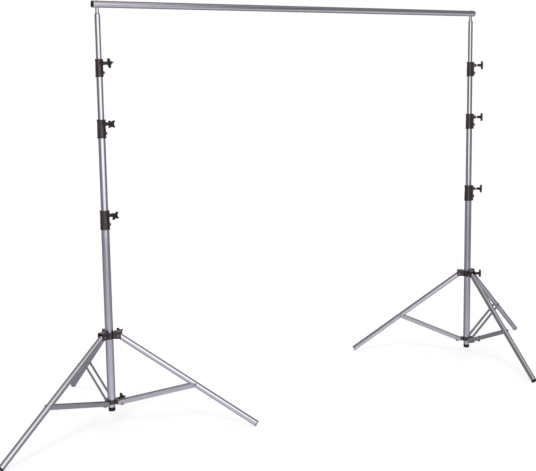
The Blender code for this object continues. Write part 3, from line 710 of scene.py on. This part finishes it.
# Domed screw head with a cross slot, along +X. The height over the disc is
# crown sqrt(1 - (d / R)^2 / dome) less the slot's depth where either arm of the cross is.
def screwHead():
    s = crossScrew
    rings = np.linspace(*s["ringShares"], s["rings"])
    share = np.concatenate([[s["centreShare"]], rings, [s["rimShare"], 1.0, 1.0]])[:, None]
    t = np.linspace(0.0, 2.0 * np.pi, s["sides"], endpoint=False)
    away = share * s["radius"]
    u, v = away * np.cos(t), away * np.sin(t)

    # 1 in an arm and 0 outside it, with sloping walls between
    def arm(a, b):
        side = np.clip((s["armHalfWidth"] - np.abs(a)) / s["sideSlope"] + 0.5, 0, 1)
        end = np.clip((s["armReach"] - np.abs(b)) / s["endSlope"] + 0.5, 0, 1)
        return side * end

    slot = s["depth"] * np.maximum(arm(u, v), arm(v, u))
    height = s["crown"] * np.sqrt(1.0 - share ** 2 / s["dome"]) - slot
    height[-1] = -s["rimDrop"]
    return skin(np.stack([height, u, v], -1)[::-1])


for side in sides:
    x, y = axisOf(side)
    for which in clamp["height"]:
        node = f"{side}_{which}_clamp"
        place = shift(x, y, boxOf(node)[0][2]) @ spin(bearing(node + "_knob_turn"))
        shapes = [shape.settled().moved(place) for shape in clampShapes(which)]
        dress(node, collarNylon, shapes)
        seat = clamp["gripRadius"][which] + clamp["wall"] + screwBoss["proud"] - screwBoss["recessDepth"]
        head = screwHead().moved(spin(crossScrew["firstTurn"] + crossScrew["turnStep"] * pieceCount, "X"))
        head = head.moved(place @ shift(seat, 0, clamp["height"][which] - clamp["screwDrop"]))
        makePiece(node + "_cross_screw", bodyOfNode[node], rivetSteel, [head])
print("clamp collars made")

# Star knobs, along +X from the surface that they press on. A ring is (x, radius, wear): the back
# rings count x from the hub's start, the fillet's from the star's start with the hub's radius
# added, and the face's from the star's end with the face's radius added.
knob = {
    "hubStart": 0.0212, "hubRadius": 0.0074, "starStart": 0.0392, "starThick": 0.0115, "edge": 0.0020,
    "tip": 0.0208, "armHalfWidth": 0.0024, "armTaper": 19.0, "discRadius": 0.0092, "arms": 4,
    "sharpness": 9, "faceRadius": 0.0074, "faceDrop": 0.0004, "centre": 0.0008, "sides": 160,
    "backRings": ((0, 0.0030, 0), (0, 0.0040, 0), (0.0003, 0.0048, 0.6), (0.0012, 0.0057, 0.8),
                  (0.0026, 0.0068, 0.3), (0.0030, 0.0069, 0)),
    "filletRings": ((-0.0022, 0, 0), (-0.0019, 0.00005, 0), (-0.0007, 0.0005, 0), (-0.0001, 0.0017, 0),
                    (0, 0.0021, 0)),
    "faceRings": ((-0.0013, 0.0003, 0), (-0.0014, 0, 0), (-0.0012, -0.0002, 0), (-0.0005, -0.0003, 0.3),
                  (-0.0001, -0.0006, 0.8), (0, -0.0012, 0.3), (0, -0.0015, 0)),
    "dishRing": (-0.0007, 0.0006, 0.003, 0.25), "flatGuards": (0.0004, 0.0003), "rimGuard": 0.0002,
    "rimSteps": 6,
}


# Radius of the star at each angle t. An arm has a round tip of radius a centred at c, where the
# radius is c cos u + sqrt(a^2 - c^2 sin^2 u), and flanks that open towards the middle by the
# taper p, where it is (a + c sin p) / sin(u + p). It joins the disc by (arm^n + disc^n)^(1/n).
def starRadius(t):
    k, power = knob, knob["sharpness"]
    pitchAngle = 2.0 * np.pi / k["arms"]
    u = np.abs((t / pitchAngle + 0.5) % 1.0 - 0.5) * pitchAngle
    half, centre, taper = k["armHalfWidth"], k["tip"] - k["armHalfWidth"], math.radians(k["armTaper"])
    nearTip = centre * np.cos(u) + np.sqrt(np.maximum(half ** 2 - (centre * np.sin(u)) ** 2, 0.0))
    flank = (half + centre * math.sin(taper)) / np.sin(u + taper)
    touch = half * math.cos(taper) / (centre + half * math.sin(taper))
    arm = np.where(np.tan(u) < touch, nearTip, flank)
    return (arm ** power + k["discRadius"] ** power) ** (1 / power)


# Rows (x, round radius, inset, share, wear): each ring's radius is
# (1 - share) x round radius + share x (star radius - inset)
def knobShape():
    k = knob
    start, end, edge = k["starStart"], k["starStart"] + k["starThick"], k["edge"]
    face, (backGuard, frontGuard) = end - k["faceDrop"], k["flatGuards"]
    b = np.linspace(0.0, 0.5 * np.pi, k["rimSteps"])
    across, along, worn = edge * (1 - np.sin(b)), edge * (1 - np.cos(b)), np.sin(2 * b)

    # each step adds to x and to the radius
    def rings(x, radius, steps):
        return [(x + forward, radius + out, 0, 0, wear) for forward, out, wear in steps]

    rows = rings(k["hubStart"], 0.0, k["backRings"]) + rings(start, k["hubRadius"], k["filletRings"])
    rows += [(start, 0, edge + backGuard, 1, 0), (start, 0, edge, 1, 0)]
    rows += [(start + forward, 0, inset, 1, wear)
             for forward, inset, wear in zip(along[1:], across[1:], worn[1:])]
    rows += [(start + edge + k["rimGuard"], 0, 0, 1, 0), (face - edge - k["rimGuard"], 0, 0, 1, 0)]
    rows += [(face - back, 0, inset, 1, wear) for back, inset, wear in zip(across, along, worn)]
    dishDrop, dishOut, dishInset, dishShare = k["dishRing"]
    rows += [(face, 0, edge + frontGuard, 1, 0),
             (end + dishDrop, k["faceRadius"] + dishOut, dishInset, dishShare, 0)]
    rows += rings(end, k["faceRadius"], k["faceRings"]) + [(end, k["centre"], 0, 0, 0)]
    x, plain, inset, share, wear = (np.array(rows, float)[:, i:i + 1] for i in range(5))
    t = np.linspace(0.0, 2.0 * np.pi, k["sides"], endpoint=False)
    radius = (1 - share) * plain + share * (starRadius(t) - inset)
    grid = np.stack([x + 0 * t, radius * np.cos(t), radius * np.sin(t)], -1)
    return skin(grid, wear=wear)


knobScrew = {
    "radius": 0.0025, "threadDepth": 0.00042, "pitch": 0.0010, "ringsPerTurn": 8, "sides": 28,
    "start": -0.0036, "threadStart": 0.0120, "lead": 0.001, "end": 0.0233,
}


# Screw along +X: plain where it is hidden, then threaded with radius
# r - depth |2 frac(x / pitch - t / 2 pi) - 1|
def knobScrewShape():
    s = knobScrew
    count = int((s["end"] - s["threadStart"]) / s["pitch"] * s["ringsPerTurn"])
    threaded = np.linspace(s["threadStart"], s["end"], count)
    x = np.concatenate([[s["start"], s["threadStart"] - s["lead"]], threaded])[:, None]
    t = np.linspace(0.0, 2.0 * np.pi, s["sides"], endpoint=False)
    wave = np.abs(2.0 * ((x / s["pitch"] - t / (2.0 * np.pi)) % 1.0) - 1.0)
    radius = s["radius"] - s["threadDepth"] * wave * (x >= s["threadStart"])
    return skin(np.stack([x + 0 * t, radius * np.cos(t), radius * np.sin(t)], -1))


# How far each star is turned in the photograph, in degrees
starTurn = {
    "left": {
        "lower_clamp": 52.0, "middle_clamp": 45.0, "upper_clamp": 10.0,
        "leg_collar": 50.0, "brace_collar": -22.0,
    },
    "right": {
        "lower_clamp": 0.0, "middle_clamp": 5.0, "upper_clamp": 0.0,
        "leg_collar": 2.0, "brace_collar": 30.0,
    },
}
for side in sides:
    for which, degrees in starTurn[side].items():
        node = f"{side}_{which}_knob"
        turnJoint = node + "_turn"
        place = shift(*spotOf(turnJoint)) @ spin(bearing(turnJoint)) @ spin(degrees, "X")
        dress(node, knobNylon, [knobShape().moved(place)])
        screw = knobScrewShape().moved(spin(-90, "Y")).settled().moved(place @ spin(90, "Y"))
        makePiece(node + "_screw", bodyOfNode[node], threadSteel, [screw])
print("star knobs made")

# Leg collar and brace collar: a ring each, with three clevises or three lugs and a knob boss
collar = {
    "radius": 0.0220, "ringCurve": 0.0012, "boreCurve": 0.0005,
    "legSpan": (-0.016, 0.014), "braceSpan": (-0.0045, 0.0145), "braceKnobRise": 0.005,
}


# The ring's section, wall by height, turned about z
def collarRing(span):
    c, bore, (low, high) = collar, column["radius"] + general["gap"], span
    return turned([(bore, low, general["edge"]), (c["radius"], low, c["ringCurve"]),
                   (c["radius"], high, c["ringCurve"]), (bore, high, c["boreCurve"])], closed=True)


clevis = {
    "span": (-0.0135, 0.0190), "reach": 0.0545, "halfWidth": 0.0162, "root": 0.0204,
    "slotHalfWidth": 0.0133, "slotStart": 0.0245, "roof": 0.0030, "corner": 0.0030, "cornerPoints": 9,
    "edge": 0.0006, "footCurve": 0.0011, "shoulderCurve": 0.0026, "slotCurve": 0.0018, "guard": 0.0002,
    "wearPeak": 3.0, "webFoot": 0.0004, "webDrop": 0.0015, "webCurve": 0.0006, "webOverlap": 0.001,
    "webEdge": 0.0002,
}


# The clevis is an upside-down U of (y, z) points carried along x. Over the last corner length
# its height shrinks as corner (1 - cos b) at both ends, with x = corner sin b, and its rim is
# drawn in by edge (1 - cos a) over the last edge length.
def clevisShape():
    c, edge = clevis, clevis["edge"]
    low, high = c["span"]
    out, slot, roof = c["halfWidth"], c["slotHalfWidth"], high - c["roof"]
    foot, shoulder, inside = c["footCurve"], c["shoulderCurve"], c["slotCurve"]
    section = roundedOutline([
        (-out, low, foot), (-out, high, shoulder), (out, high, shoulder), (out, low, foot),
        (slot, low, foot), (slot, roof, inside), (-slot, roof, inside), (-slot, low, foot),
    ])
    corner, reach = c["corner"], c["reach"]
    b = np.linspace(0.0, 0.5 * np.pi, c["cornerPoints"])
    x = np.concatenate([[c["root"], reach - corner - c["guard"]], reach - corner + corner * np.sin(b)])
    shrink = np.concatenate([[0.0, 0.0], corner * (1.0 - np.cos(b))])
    past = np.clip((x - (reach - edge)) / edge, 0.0, 1.0)
    inset = edge * (1.0 - np.sqrt(1.0 - past ** 2))
    middle, halfHeight = 0.5 * (low + high), 0.5 * (high - low)
    grid = np.empty((len(x) + 1, len(section), 3))
    for row in range(len(x) + 1):
        at = min(row, len(x) - 1)
        extra = general["guard"] if row == len(x) else 0.0
        ring = drawnIn(section, inset[at] + extra)
        grid[row, :, 0] = x[at]
        grid[row, :, 1] = ring[:, 0]
        grid[row, :, 2] = middle + (ring[:, 1] - middle) * (halfHeight - shrink[at]) / halfHeight
    wear = np.concatenate([past * (1.0 - past) * c["wearPeak"], [0.0]])[:, None]
    return skin(grid, wear=wear)


# The solid web that joins the clevis's cheeks to the ring
def clevisWeb():
    c = clevis
    low, high = c["span"][0] + c["webFoot"], c["span"][1] - c["webDrop"]
    web = roundedOutline([(x, z, c["webCurve"]) for x, z in (
        (c["root"], low), (c["slotStart"], low), (c["slotStart"], high), (c["root"], high))])
    half = c["slotHalfWidth"] + c["webOverlap"]
    return plate(web, -half, half, c["webEdge"])


lug = {
    "radius": 0.0500, "end": 0.0085, "halfWidth": 0.0130, "edge": 0.0008, "root": 0.0197, "inset": 0.001,
    "arc": (-100.0, 60.0, 20), "back": ((0.0400, 0.0105), (0.0340, 0.0118), (0.0280, 0.0128)),
}


# A lug's (x, z) outline: an arc round the brace's pivot, and a back that climbs to the ring
def lugShape():
    g = lug
    low, high = collar["braceSpan"][0] + g["inset"], collar["braceSpan"][1] - g["inset"]
    outline = np.vstack([
        [(g["root"], low)], arcPoints((g["radius"], 0.0), g["end"], *g["arc"]),
        [*g["back"], (collar["radius"], high), (g["root"], high)],
    ])
    return plate(outline, -g["halfWidth"], g["halfWidth"], g["edge"])


for side in sides:
    x, y = axisOf(side)
    legSpot, braceSpot = spotOf(side + "_leg_1_hinge"), spotOf(side + "_brace_1_hinge")
    first = math.degrees(math.atan2(legSpot[1] - y, legSpot[0] - x))
    kinds = {
        "leg_collar": (legSpot[2], collar["legSpan"], 0.0, [clevisShape(), clevisWeb()]),
        "brace_collar": (braceSpot[2], collar["braceSpan"], collar["braceKnobRise"], [lugShape()]),
    }
    for kind, (height, span, rise, arms) in kinds.items():
        shapes = [collarRing(span), knobBoss(collar["radius"]).moved(shift(0, 0, rise)).moved(spin(180))]
        shapes += [arm.moved(spin(turn)) for turn in (0, 120, 240) for arm in arms]
        place = shift(x, y, height) @ spin(first)
        shapes = [shape.settled().moved(place) for shape in shapes]
        dress(f"{side}_{kind}", collarNylon, shapes)
print("leg and brace collars made")

# Legs with their feet, top plugs, hinge pins and braces
leg = {
    "radius": 0.0130, "wall": 0.0012, "length": 0.714, "top": 0.009, "sides": 72,
    "spread": {"left": 56.5, "right": 52.9}, "braceAt": 0.395, "hingeRadius": 0.042,
}
legFoot = {
    "radius": 0.0138, "flange": 0.0028, "edge": 0.0006, "shank": 0.018, "shankEdge": 0.0008,
    "shankHole": 0.0020, "hollow": (0.0070, 0.0075), "hollowDepth": 0.0010, "hollowCurve": 0.0004,
    "gateRadius": 0.0012,
}
topPlug = {
    "depth": 0.012, "proud": 0.0007, "clearance": 0.0002, "edge": 0.0006, "shankHole": 0.0020,
    "dish": (0.0047, 0.0052), "dishDepth": 0.0006, "dishCurve": 0.0004, "gateRadius": 0.0010, "sides": 48,
}
rivet = {
    "head": 0.0046, "height": 0.0019, "shaft": 0.0025, "crown": 0.0030, "crownCurve": 0.0016,
    "rim": 0.0006, "rimCurve": 0.0008, "centre": 0.0008, "sunk": 0.0002, "hole": 0.0020, "sides": 40,
}
brace = {
    "length": 0.3325, "halfHeight": 0.0095, "thick": 0.0018, "innerTip": 0.018, "edge": 0.0004,
    "riseAtLug": 0.0062, "riseAtLeg": -0.0010, "lobeRadius": 0.0070, "endSteps": 16, "lobeSteps": 14,
    "rivetFit": 0.0001,
}


# The wall's section turned about z, from the foot's flange to above the hinge
def legShape():
    low = -leg["length"] + legFoot["flange"] + general["gap"]
    corners = tubeCorners(leg["radius"], leg["wall"], low, leg["top"])
    return turned(corners, sideCount=leg["sides"], closed=True)


# A profile turned about z: hollow face, flange, and the shank inside the leg
def footShape():
    f, end = legFoot, -leg["length"]
    shank = leg["radius"] - leg["wall"] - general["gap"]
    hollow, flangeTop, shankTop = end + f["hollowDepth"], end + f["flange"], end + f["flange"] + f["shank"]
    return turned([
        (f["gateRadius"], hollow, 0), (f["hollow"][0], hollow, -general["edge"]),
        (f["hollow"][1], end, f["hollowCurve"]), (f["radius"], end, f["edge"]),
        (f["radius"], flangeTop, f["edge"]), (shank, flangeTop, 0),
        (shank, shankTop, f["shankEdge"]), (f["shankHole"], shankTop, 0),
    ], sideCount=leg["sides"])


# A profile turned about z: the shank inside the leg, and a dished rim
def topPlugShape():
    p, top = topPlug, leg["top"]
    shank = leg["radius"] - leg["wall"] - p["clearance"]
    low, high, dish = top - p["depth"], top + p["proud"], top - p["dishDepth"]
    return turned([
        (p["shankHole"], low, 0), (shank, low, p["edge"]), (shank, top - p["clearance"], 0),
        (shank, high, p["edge"]), (p["dish"][1], high, p["dishCurve"]),
        (p["dish"][0], dish, -general["edge"]), (p["gateRadius"], dish, 0),
    ], sideCount=p["sides"])


# Profile of a low round head that stands on the height "seat"
def headCorners(seat):
    r = rivet
    return [(r["centre"], seat + r["height"], 0), (r["crown"], seat + r["height"], r["crownCurve"]),
            (r["head"], seat + r["rim"], r["rimCurve"])]


# A pin along z with a head beyond each face of a part that is 2 x halfGrip wide
def rivetShape(halfGrip):
    r, seat = rivet, halfGrip - rivet["sunk"]
    half = headCorners(halfGrip) + [(r["head"], seat, 0), (r["shaft"], seat, 0)]
    return turned(half + [(a, -b, c) for a, b, c in half[::-1]], sideCount=r["sides"])


# One head along z
def rivetHead(seat):
    r = rivet
    return turned(headCorners(seat) + [(r["head"], seat, 0), (r["hole"], seat, 0)], sideCount=r["sides"])


# A strip with two round ends, and a lobe below the inner one round the lug's rivet
def braceOutline():
    b = brace
    inner = (-b["innerTip"] + b["halfHeight"], b["riseAtLug"])
    outer = (b["length"], b["riseAtLeg"])
    slope = math.degrees(math.atan2(outer[1] - inner[1], outer[0] - inner[0]))
    reach = math.degrees(math.asin((b["halfHeight"] - b["riseAtLug"]) / b["lobeRadius"]))
    return np.vstack([
        arcPoints(inner, b["halfHeight"], slope + 90, slope + 270, b["endSteps"]),
        arcPoints((0, 0), b["lobeRadius"], 180 + reach, 360 - reach, b["lobeSteps"]),
        arcPoints(outer, b["halfHeight"], slope - 90, slope + 90, b["endSteps"]),
    ])


# No point of a foot is below the floor
def footOnFloor(shape):
    points = shape.points.copy()
    points[:, 2] = np.maximum(points[:, 2], 0.0)
    return Shape(points, shape.quads, shape.caps, shape.wear, shape.local)


near, far = clevis["slotHalfWidth"], clevis["slotHalfWidth"] + brace["thick"]
strips = [plate(braceOutline(), low, high, brace["edge"]) for low, high in ((near, far), (-far, -near))]
for side in sides:
    x, y = axisOf(side)
    tilt = math.radians(leg["spread"][side])
    for number in (1, 2, 3):
        pivot = spotOf(f"{side}_leg_{number}_hinge")
        lugSpot = spotOf(f"{side}_brace_{number}_hinge")
        outwards = spin(math.degrees(math.atan2(pivot[1] - y, pivot[0] - x)))
        hinge = shift(*pivot) @ outwards
        lean = hinge @ spin(-leg["spread"][side], "Y")
        legNode, braceNode = f"{side}_leg_{number}", f"{side}_brace_{number}"
        dress(legNode, tubeMetal, [legShape().moved(lean)])
        dress(f"{side}_foot_{number}", endRubber, [footOnFloor(footShape().moved(lean))])
        plug = topPlugShape().moved(lean)
        makePiece(legNode + "_top_plug", bodyOfNode[legNode], endRubber, [plug])
        pin = rivetShape(clevis["halfWidth"] + general["gap"]).moved(hinge @ spin(90, "X"))
        dress(f"{side}_leg_pin_{number}", rivetSteel, [pin])
        jointHeight = pivot[2] - leg["braceAt"] * math.cos(tilt)
        jointReach = leg["hingeRadius"] + leg["braceAt"] * math.sin(tilt)
        climb = math.degrees(math.atan2(jointHeight - lugSpot[2], jointReach - lug["radius"]))
        along = shift(*lugSpot) @ outwards @ spin(-climb, "Y")
        dress(braceNode, stripMetal, [strip.moved(along) for strip in strips])
        rivets = [rivetShape(far + brace["rivetFit"]).moved(along @ spin(90, "X"))]
        head, end = rivetHead(far - brace["rivetFit"]), along @ shift(brace["length"], 0, 0)
        rivets += [head.moved(end @ spin(turn, "X")) for turn in (90, -90)]
        makePiece(braceNode + "_rivets", bodyOfNode[braceNode], rivetSteel, rivets)
print("legs and braces made")

# Spigot on top of each stand: a shank in the riser, a hollow cone, a neck, and a stud through the bar
spigot = {
    "shankLength": 0.025, "shankEdge": 0.0006, "shankHole": 0.0030,
    "rim": 0.0014, "rimCurves": (0.0002, 0.0004),
    "cone": 0.0105, "coneShares": (0.12, 1.0, 9), "hollow": 2.3, "neckRadius": 0.0077, "neckCurve": 0.0005,
    "studRadius": 0.0050, "studEdge": 0.0008, "centre": 0.0012, "sides": 72,
}


# The cone's radius falls from the riser's to the neck's as neck + (riser - neck) (1 - s)^hollow
def spigotShape(neckTop, studTop):
    p, outer, seat = spigot, riser["radius"]["upper"], general["gap"]
    shank = outer - riser["wall"] - general["gap"]
    cone = [(p["neckRadius"] + (outer - p["neckRadius"]) * (1 - s) ** p["hollow"],
             p["rim"] + (p["cone"] - p["rim"]) * s, 0) for s in np.linspace(*p["coneShares"])]
    return turned([
        (p["shankHole"], -p["shankLength"], 0), (shank, -p["shankLength"], p["shankEdge"]),
        (shank, seat, 0), (outer, seat, p["rimCurves"][0]), (outer, p["rim"], p["rimCurves"][1]), *cone,
        (p["neckRadius"], neckTop, p["neckCurve"]), (p["studRadius"], neckTop, 0),
        (p["studRadius"], studTop, p["studEdge"]), (p["centre"], studTop, 0),
    ], sideCount=p["sides"])


for side in sides:
    x, y = axisOf(side)
    base = boxOf(side + "_upper_riser")[1][2]
    studTop = boxOf(side + "_spigot")[1][2] - base
    neckTop = boxOf("crossbar")[0][2] - base - general["gap"]
    shape = spigotShape(neckTop, studTop).moved(shift(x, y, base))
    dress(side + "_spigot", spigotSteel, [shape])

# Crossbar: one tube drilled for the two studs, with a flanged plug in each end
bar = {
    "radius": 0.0145, "wall": 0.0015, "nearHole": (-0.012, -0.008, 0.008, 0.012),
    "drillReach": 0.03, "drillSides": 64,
}
barCap = {
    "radius": 0.0149, "flange": 0.003, "flangeCurve": 0.0010, "shank": 0.010, "shankEdge": 0.0008,
    "shankHole": 0.0020, "dish": (0.0102, 0.0108), "dishDepth": 0.0008, "dishCurve": 0.0004,
    "gateRadius": 0.0010,
}
low, high = boxOf("crossbar")
middle = 0.5 * (low + high)
lay = shift(0.0, middle[1], middle[2]) @ spin(90, "Y")
studs = [axisOf(side)[0] for side in sides]
nearHoles = sorted(stud + step for stud in studs for step in bar["nearHole"])
ends = [(bar["radius"], end, general["edge"]) for end in (low[0], high[0])]
outerLine = [ends[0], *((bar["radius"], z, 0) for z in nearHoles), ends[1]]
innerLine = [(radius - bar["wall"], z, curve) for radius, z, curve in outerLine[::-1]]
drillRadius = spigot["studRadius"] + general["gap"]
drill = turned([(drillRadius, end * bar["drillReach"], 0) for end in (-1, 1)], bar["drillSides"])
dress("crossbar", tubeMetal, [turned(outerLine + innerLine, closed=True).moved(lay)],
      [drill.moved(shift(stud, middle[1], middle[2])) for stud in studs])


# A profile turned about z: a dished flange, and the shank inside the bar
def barCapShape():
    c, face = barCap, barCap["flange"]
    shank, dish = bar["radius"] - bar["wall"] - general["gap"], face - c["dishDepth"]
    return turned([
        (c["gateRadius"], dish, 0), (c["dish"][0], dish, -general["edge"]),
        (c["dish"][1], face, c["dishCurve"]), (c["radius"], face, c["flangeCurve"]),
        (c["radius"], 0.0, general["edge"]), (shank, 0.0, 0),
        (shank, -c["shank"], c["shankEdge"]), (c["shankHole"], -c["shank"], 0),
    ])


for side, turn, at in (("left", -90, low[0] - general["gap"]), ("right", 90, high[0] + general["gap"])):
    place = shift(at, middle[1], middle[2]) @ spin(turn, "Y")
    dress("crossbar_cap_" + side, endRubber, [barCapShape().moved(place)])
print("spigots and crossbar made:", pieceCount, "pieces in all")

# Camera, at the photograph's viewing angle
view = {
    "place": (-2.69351, -4.09662, 1.52147), "yaw": -31.831, "pitch": -8.114, "roll": -0.767,
    "lens": 68.899, "sensor": 36.0, "imageWidth": 536, "shiftPixels": (-10, -16), "clip": (0.1, 100.0),
}
cameraData = bpy.data.cameras.new("camera")
cameraData.lens = view["lens"]
cameraData.sensor_width = view["sensor"]
cameraData.sensor_fit = "HORIZONTAL"
cameraData.shift_x, cameraData.shift_y = (pixels / view["imageWidth"] for pixels in view["shiftPixels"])
cameraData.clip_start, cameraData.clip_end = view["clip"]
camera = linked("camera", cameraData)
camera.matrix_world = (shift(*view["place"]) @ spin(view["yaw"]) @ spin(90 + view["pitch"], "X")
                       @ spin(view["roll"]))
bpy.context.scene.camera = camera

# Studio: the metal mirrors a dim room with a paler floor, a pale wall behind the object and a
# glow above it. A way is a direction, and an edge the cosines to it between which a light rises.
room = {
    "ambient": 0.21, "backWay": (0.53, 0.85, 0.0), "backEdge": (0.80, 0.94), "back": 0.80,
    "topWay": (-0.08, -0.46, 0.88), "topEdge": (0.72, 0.93), "top": 0.45,
    "floorWay": (-0.30, -0.90, -0.30), "floorEdge": (-0.25, 0.95), "floorDim": 0.27, "floorPale": 0.55,
    "floorNear": (0.12, 0.35), "floorTint": (0.975, 0.940, 1.075, 1.0), "skirting": (-0.13, -0.05),
    "fill": 0.50,
}


# Walls and glow above the skirting and the floor below it; only the gloss sees them
def roomLight(board):
    direction = board.add("ShaderNodeTexCoord")

    # rises with the cosine between the ray and a way
    def towards(way, low, high):
        along = board.add("ShaderNodeVectorMath", {"operation": "DOT_PRODUCT"}, {0: direction, 1: way}, 1)
        return board.rise(along, low, high)

    up = board.add("ShaderNodeSeparateXYZ", None, {0: direction}, 2)
    walls = room["ambient"] + towards(room["backWay"], *room["backEdge"]) * (room["back"] - room["ambient"])
    upper = walls + towards(room["topWay"], *room["topEdge"]) * room["top"]
    near = board.rise(up * -1.0, *room["floorNear"])
    lower = room["floorDim"] + towards(room["floorWay"], *room["floorEdge"]) * near * room["floorPale"]
    share = board.rise(up, *room["skirting"])
    seen = upper * share + lower * (1.0 - share)
    isCamera, isGlossy, isThrough = (board.add("ShaderNodeLightPath", None, None, ray)
                                     for ray in ("Is Camera Ray", "Is Glossy Ray", "Is Transmission Ray"))
    mirrored = board.add("ShaderNodeMath", {"operation": "MAXIMUM"}, {0: isGlossy, 1: isThrough})
    level = mirrored * seen + (1.0 - mirrored) * room["fill"]
    tint = board.blend(mirrored * (1.0 - share), gray(1.0), room["floorTint"])
    return tint, isCamera + (1.0 - isCamera) * level


world = bpy.data.worlds.new("studio")
bpy.context.scene.world = world
worldBoard = Board(world)
roomColour, roomStrength = roomLight(worldBoard)
background = worldBoard.add("ShaderNodeBackground", None, {"Color": roomColour, "Strength": roomStrength})
worldBoard.add("ShaderNodeOutputWorld", None, {"Surface": background})

# Suns with wide discs at a plain level: even light on the floor, and soft shadows
lamps = {
    "key": {"from": (-3.2, -3.4, 5.2), "strength": 1.20, "angle": 14.0},
    "fillRight": {"from": (3.6, -2.6, 3.4), "strength": 0.50, "angle": 22.0},
    "top": {"from": (0.6, 1.6, 4.6), "strength": 0.45, "angle": 30.0},
}
for name, lamp in lamps.items():
    data = bpy.data.lights.new(name, "SUN")
    data.energy = lamp["strength"]
    data.angle = math.radians(lamp["angle"])
    light = linked(name, data)
    light.matrix_world = Vector(lamp["from"]).to_track_quat("Z", "Y").to_matrix().to_4x4()
    light.visible_glossy = False


# One face through four corners
def flatSheet(name, corners, material):
    sheet = bpy.data.meshes.new(name)
    sheet.from_pydata(corners, [], [(0, 1, 2, 3)])
    sheet.materials.append(material)
    thing = linked(name, sheet)
    return thing


# A large light panel that only the gloss shows: brightest in the middle, dimmer and lilac below
softPanel = {
    "left": -9.4, "right": 2.2, "away": -2.9, "low": -0.3, "high": 5.2, "strength": 1.48, "least": 0.11,
    "leftEdge": (-9.0, -6.0), "leftShare": 0.42, "middleEdge": (-4.4, -2.6), "rightEdge": (-1.2, 1.9),
    "lowEdge": (0.38, 0.62), "lowShare": 0.34, "highEdge": (3.7, 4.9), "highShare": 0.55,
    "colour": (0.995, 0.985, 1.0, 1.0), "lowColour": (0.95, 0.90, 1.0, 1.0),
}


# The level is least + across x height x (1 - least), each rising and falling smoothly
def panelMaterial():
    p = softPanel
    material, board = newBoard("softPanelGlow")
    place = board.add("ShaderNodeTexCoord", None, None, "Object")
    x = board.add("ShaderNodeSeparateXYZ", None, {0: place}, 0)
    z = board.add("ShaderNodeSeparateXYZ", None, {0: place}, 2)
    across = board.rise(x, *p["leftEdge"]) * p["leftShare"]
    across = across + board.rise(x, *p["middleEdge"]) * (1.0 - p["leftShare"])
    across = across * (1.0 - board.rise(x, *p["rightEdge"]))
    raised = board.rise(z, *p["lowEdge"])
    height = p["lowShare"] + raised * (1.0 - p["lowShare"])
    height = height - board.rise(z, *p["highEdge"]) * (1.0 - p["highShare"])
    level = p["least"] + across * height * (1.0 - p["least"])
    tint = board.blend(raised, p["lowColour"], p["colour"])
    colour = board.blend(level, gray(0.0), tint)
    board.finish("ShaderNodeEmission", {"Color": colour, "Strength": p["strength"]})
    return material


panelCorners = (("left", "low"), ("left", "high"), ("right", "high"), ("right", "low"))
panel = flatSheet("softPanel", [(softPanel[x], softPanel["away"], softPanel[z]) for x, z in panelCorners],
                  panelMaterial())
panel.visible_camera = False
panel.visible_diffuse = False
panel.visible_shadow = False

# Floor: white, and it keeps a soft shadow
floorLook = {"halfSize": 40.0, "glow": 1.06, "paint": 0.92, "paintShare": 0.30}
half = floorLook["halfSize"]
floorMaterial, floorBoard = newBoard("whiteFloor")
glow = floorBoard.add("ShaderNodeEmission", None, {"Color": gray(1.0), "Strength": floorLook["glow"]})
paint = floorBoard.add("ShaderNodeBsdfDiffuse", None, {"Color": gray(floorLook["paint"])})
isCamera = floorBoard.add("ShaderNodeLightPath", None, None, "Is Camera Ray")
share = 1.0 - isCamera * (1.0 - floorLook["paintShare"])
floorBoard.finish("ShaderNodeMixShader", {0: share, 1: glow, 2: paint})
floorCorners = [(-half, -half, 0), (half, -half, 0), (half, half, 0), (-half, half, 0)]
floor = flatSheet("floor", floorCorners, floorMaterial)
floor.visible_glossy = False

bpy.context.scene.view_settings.view_transform = "Standard"
print("studio and camera set")

bpy.context.view_layer.update()
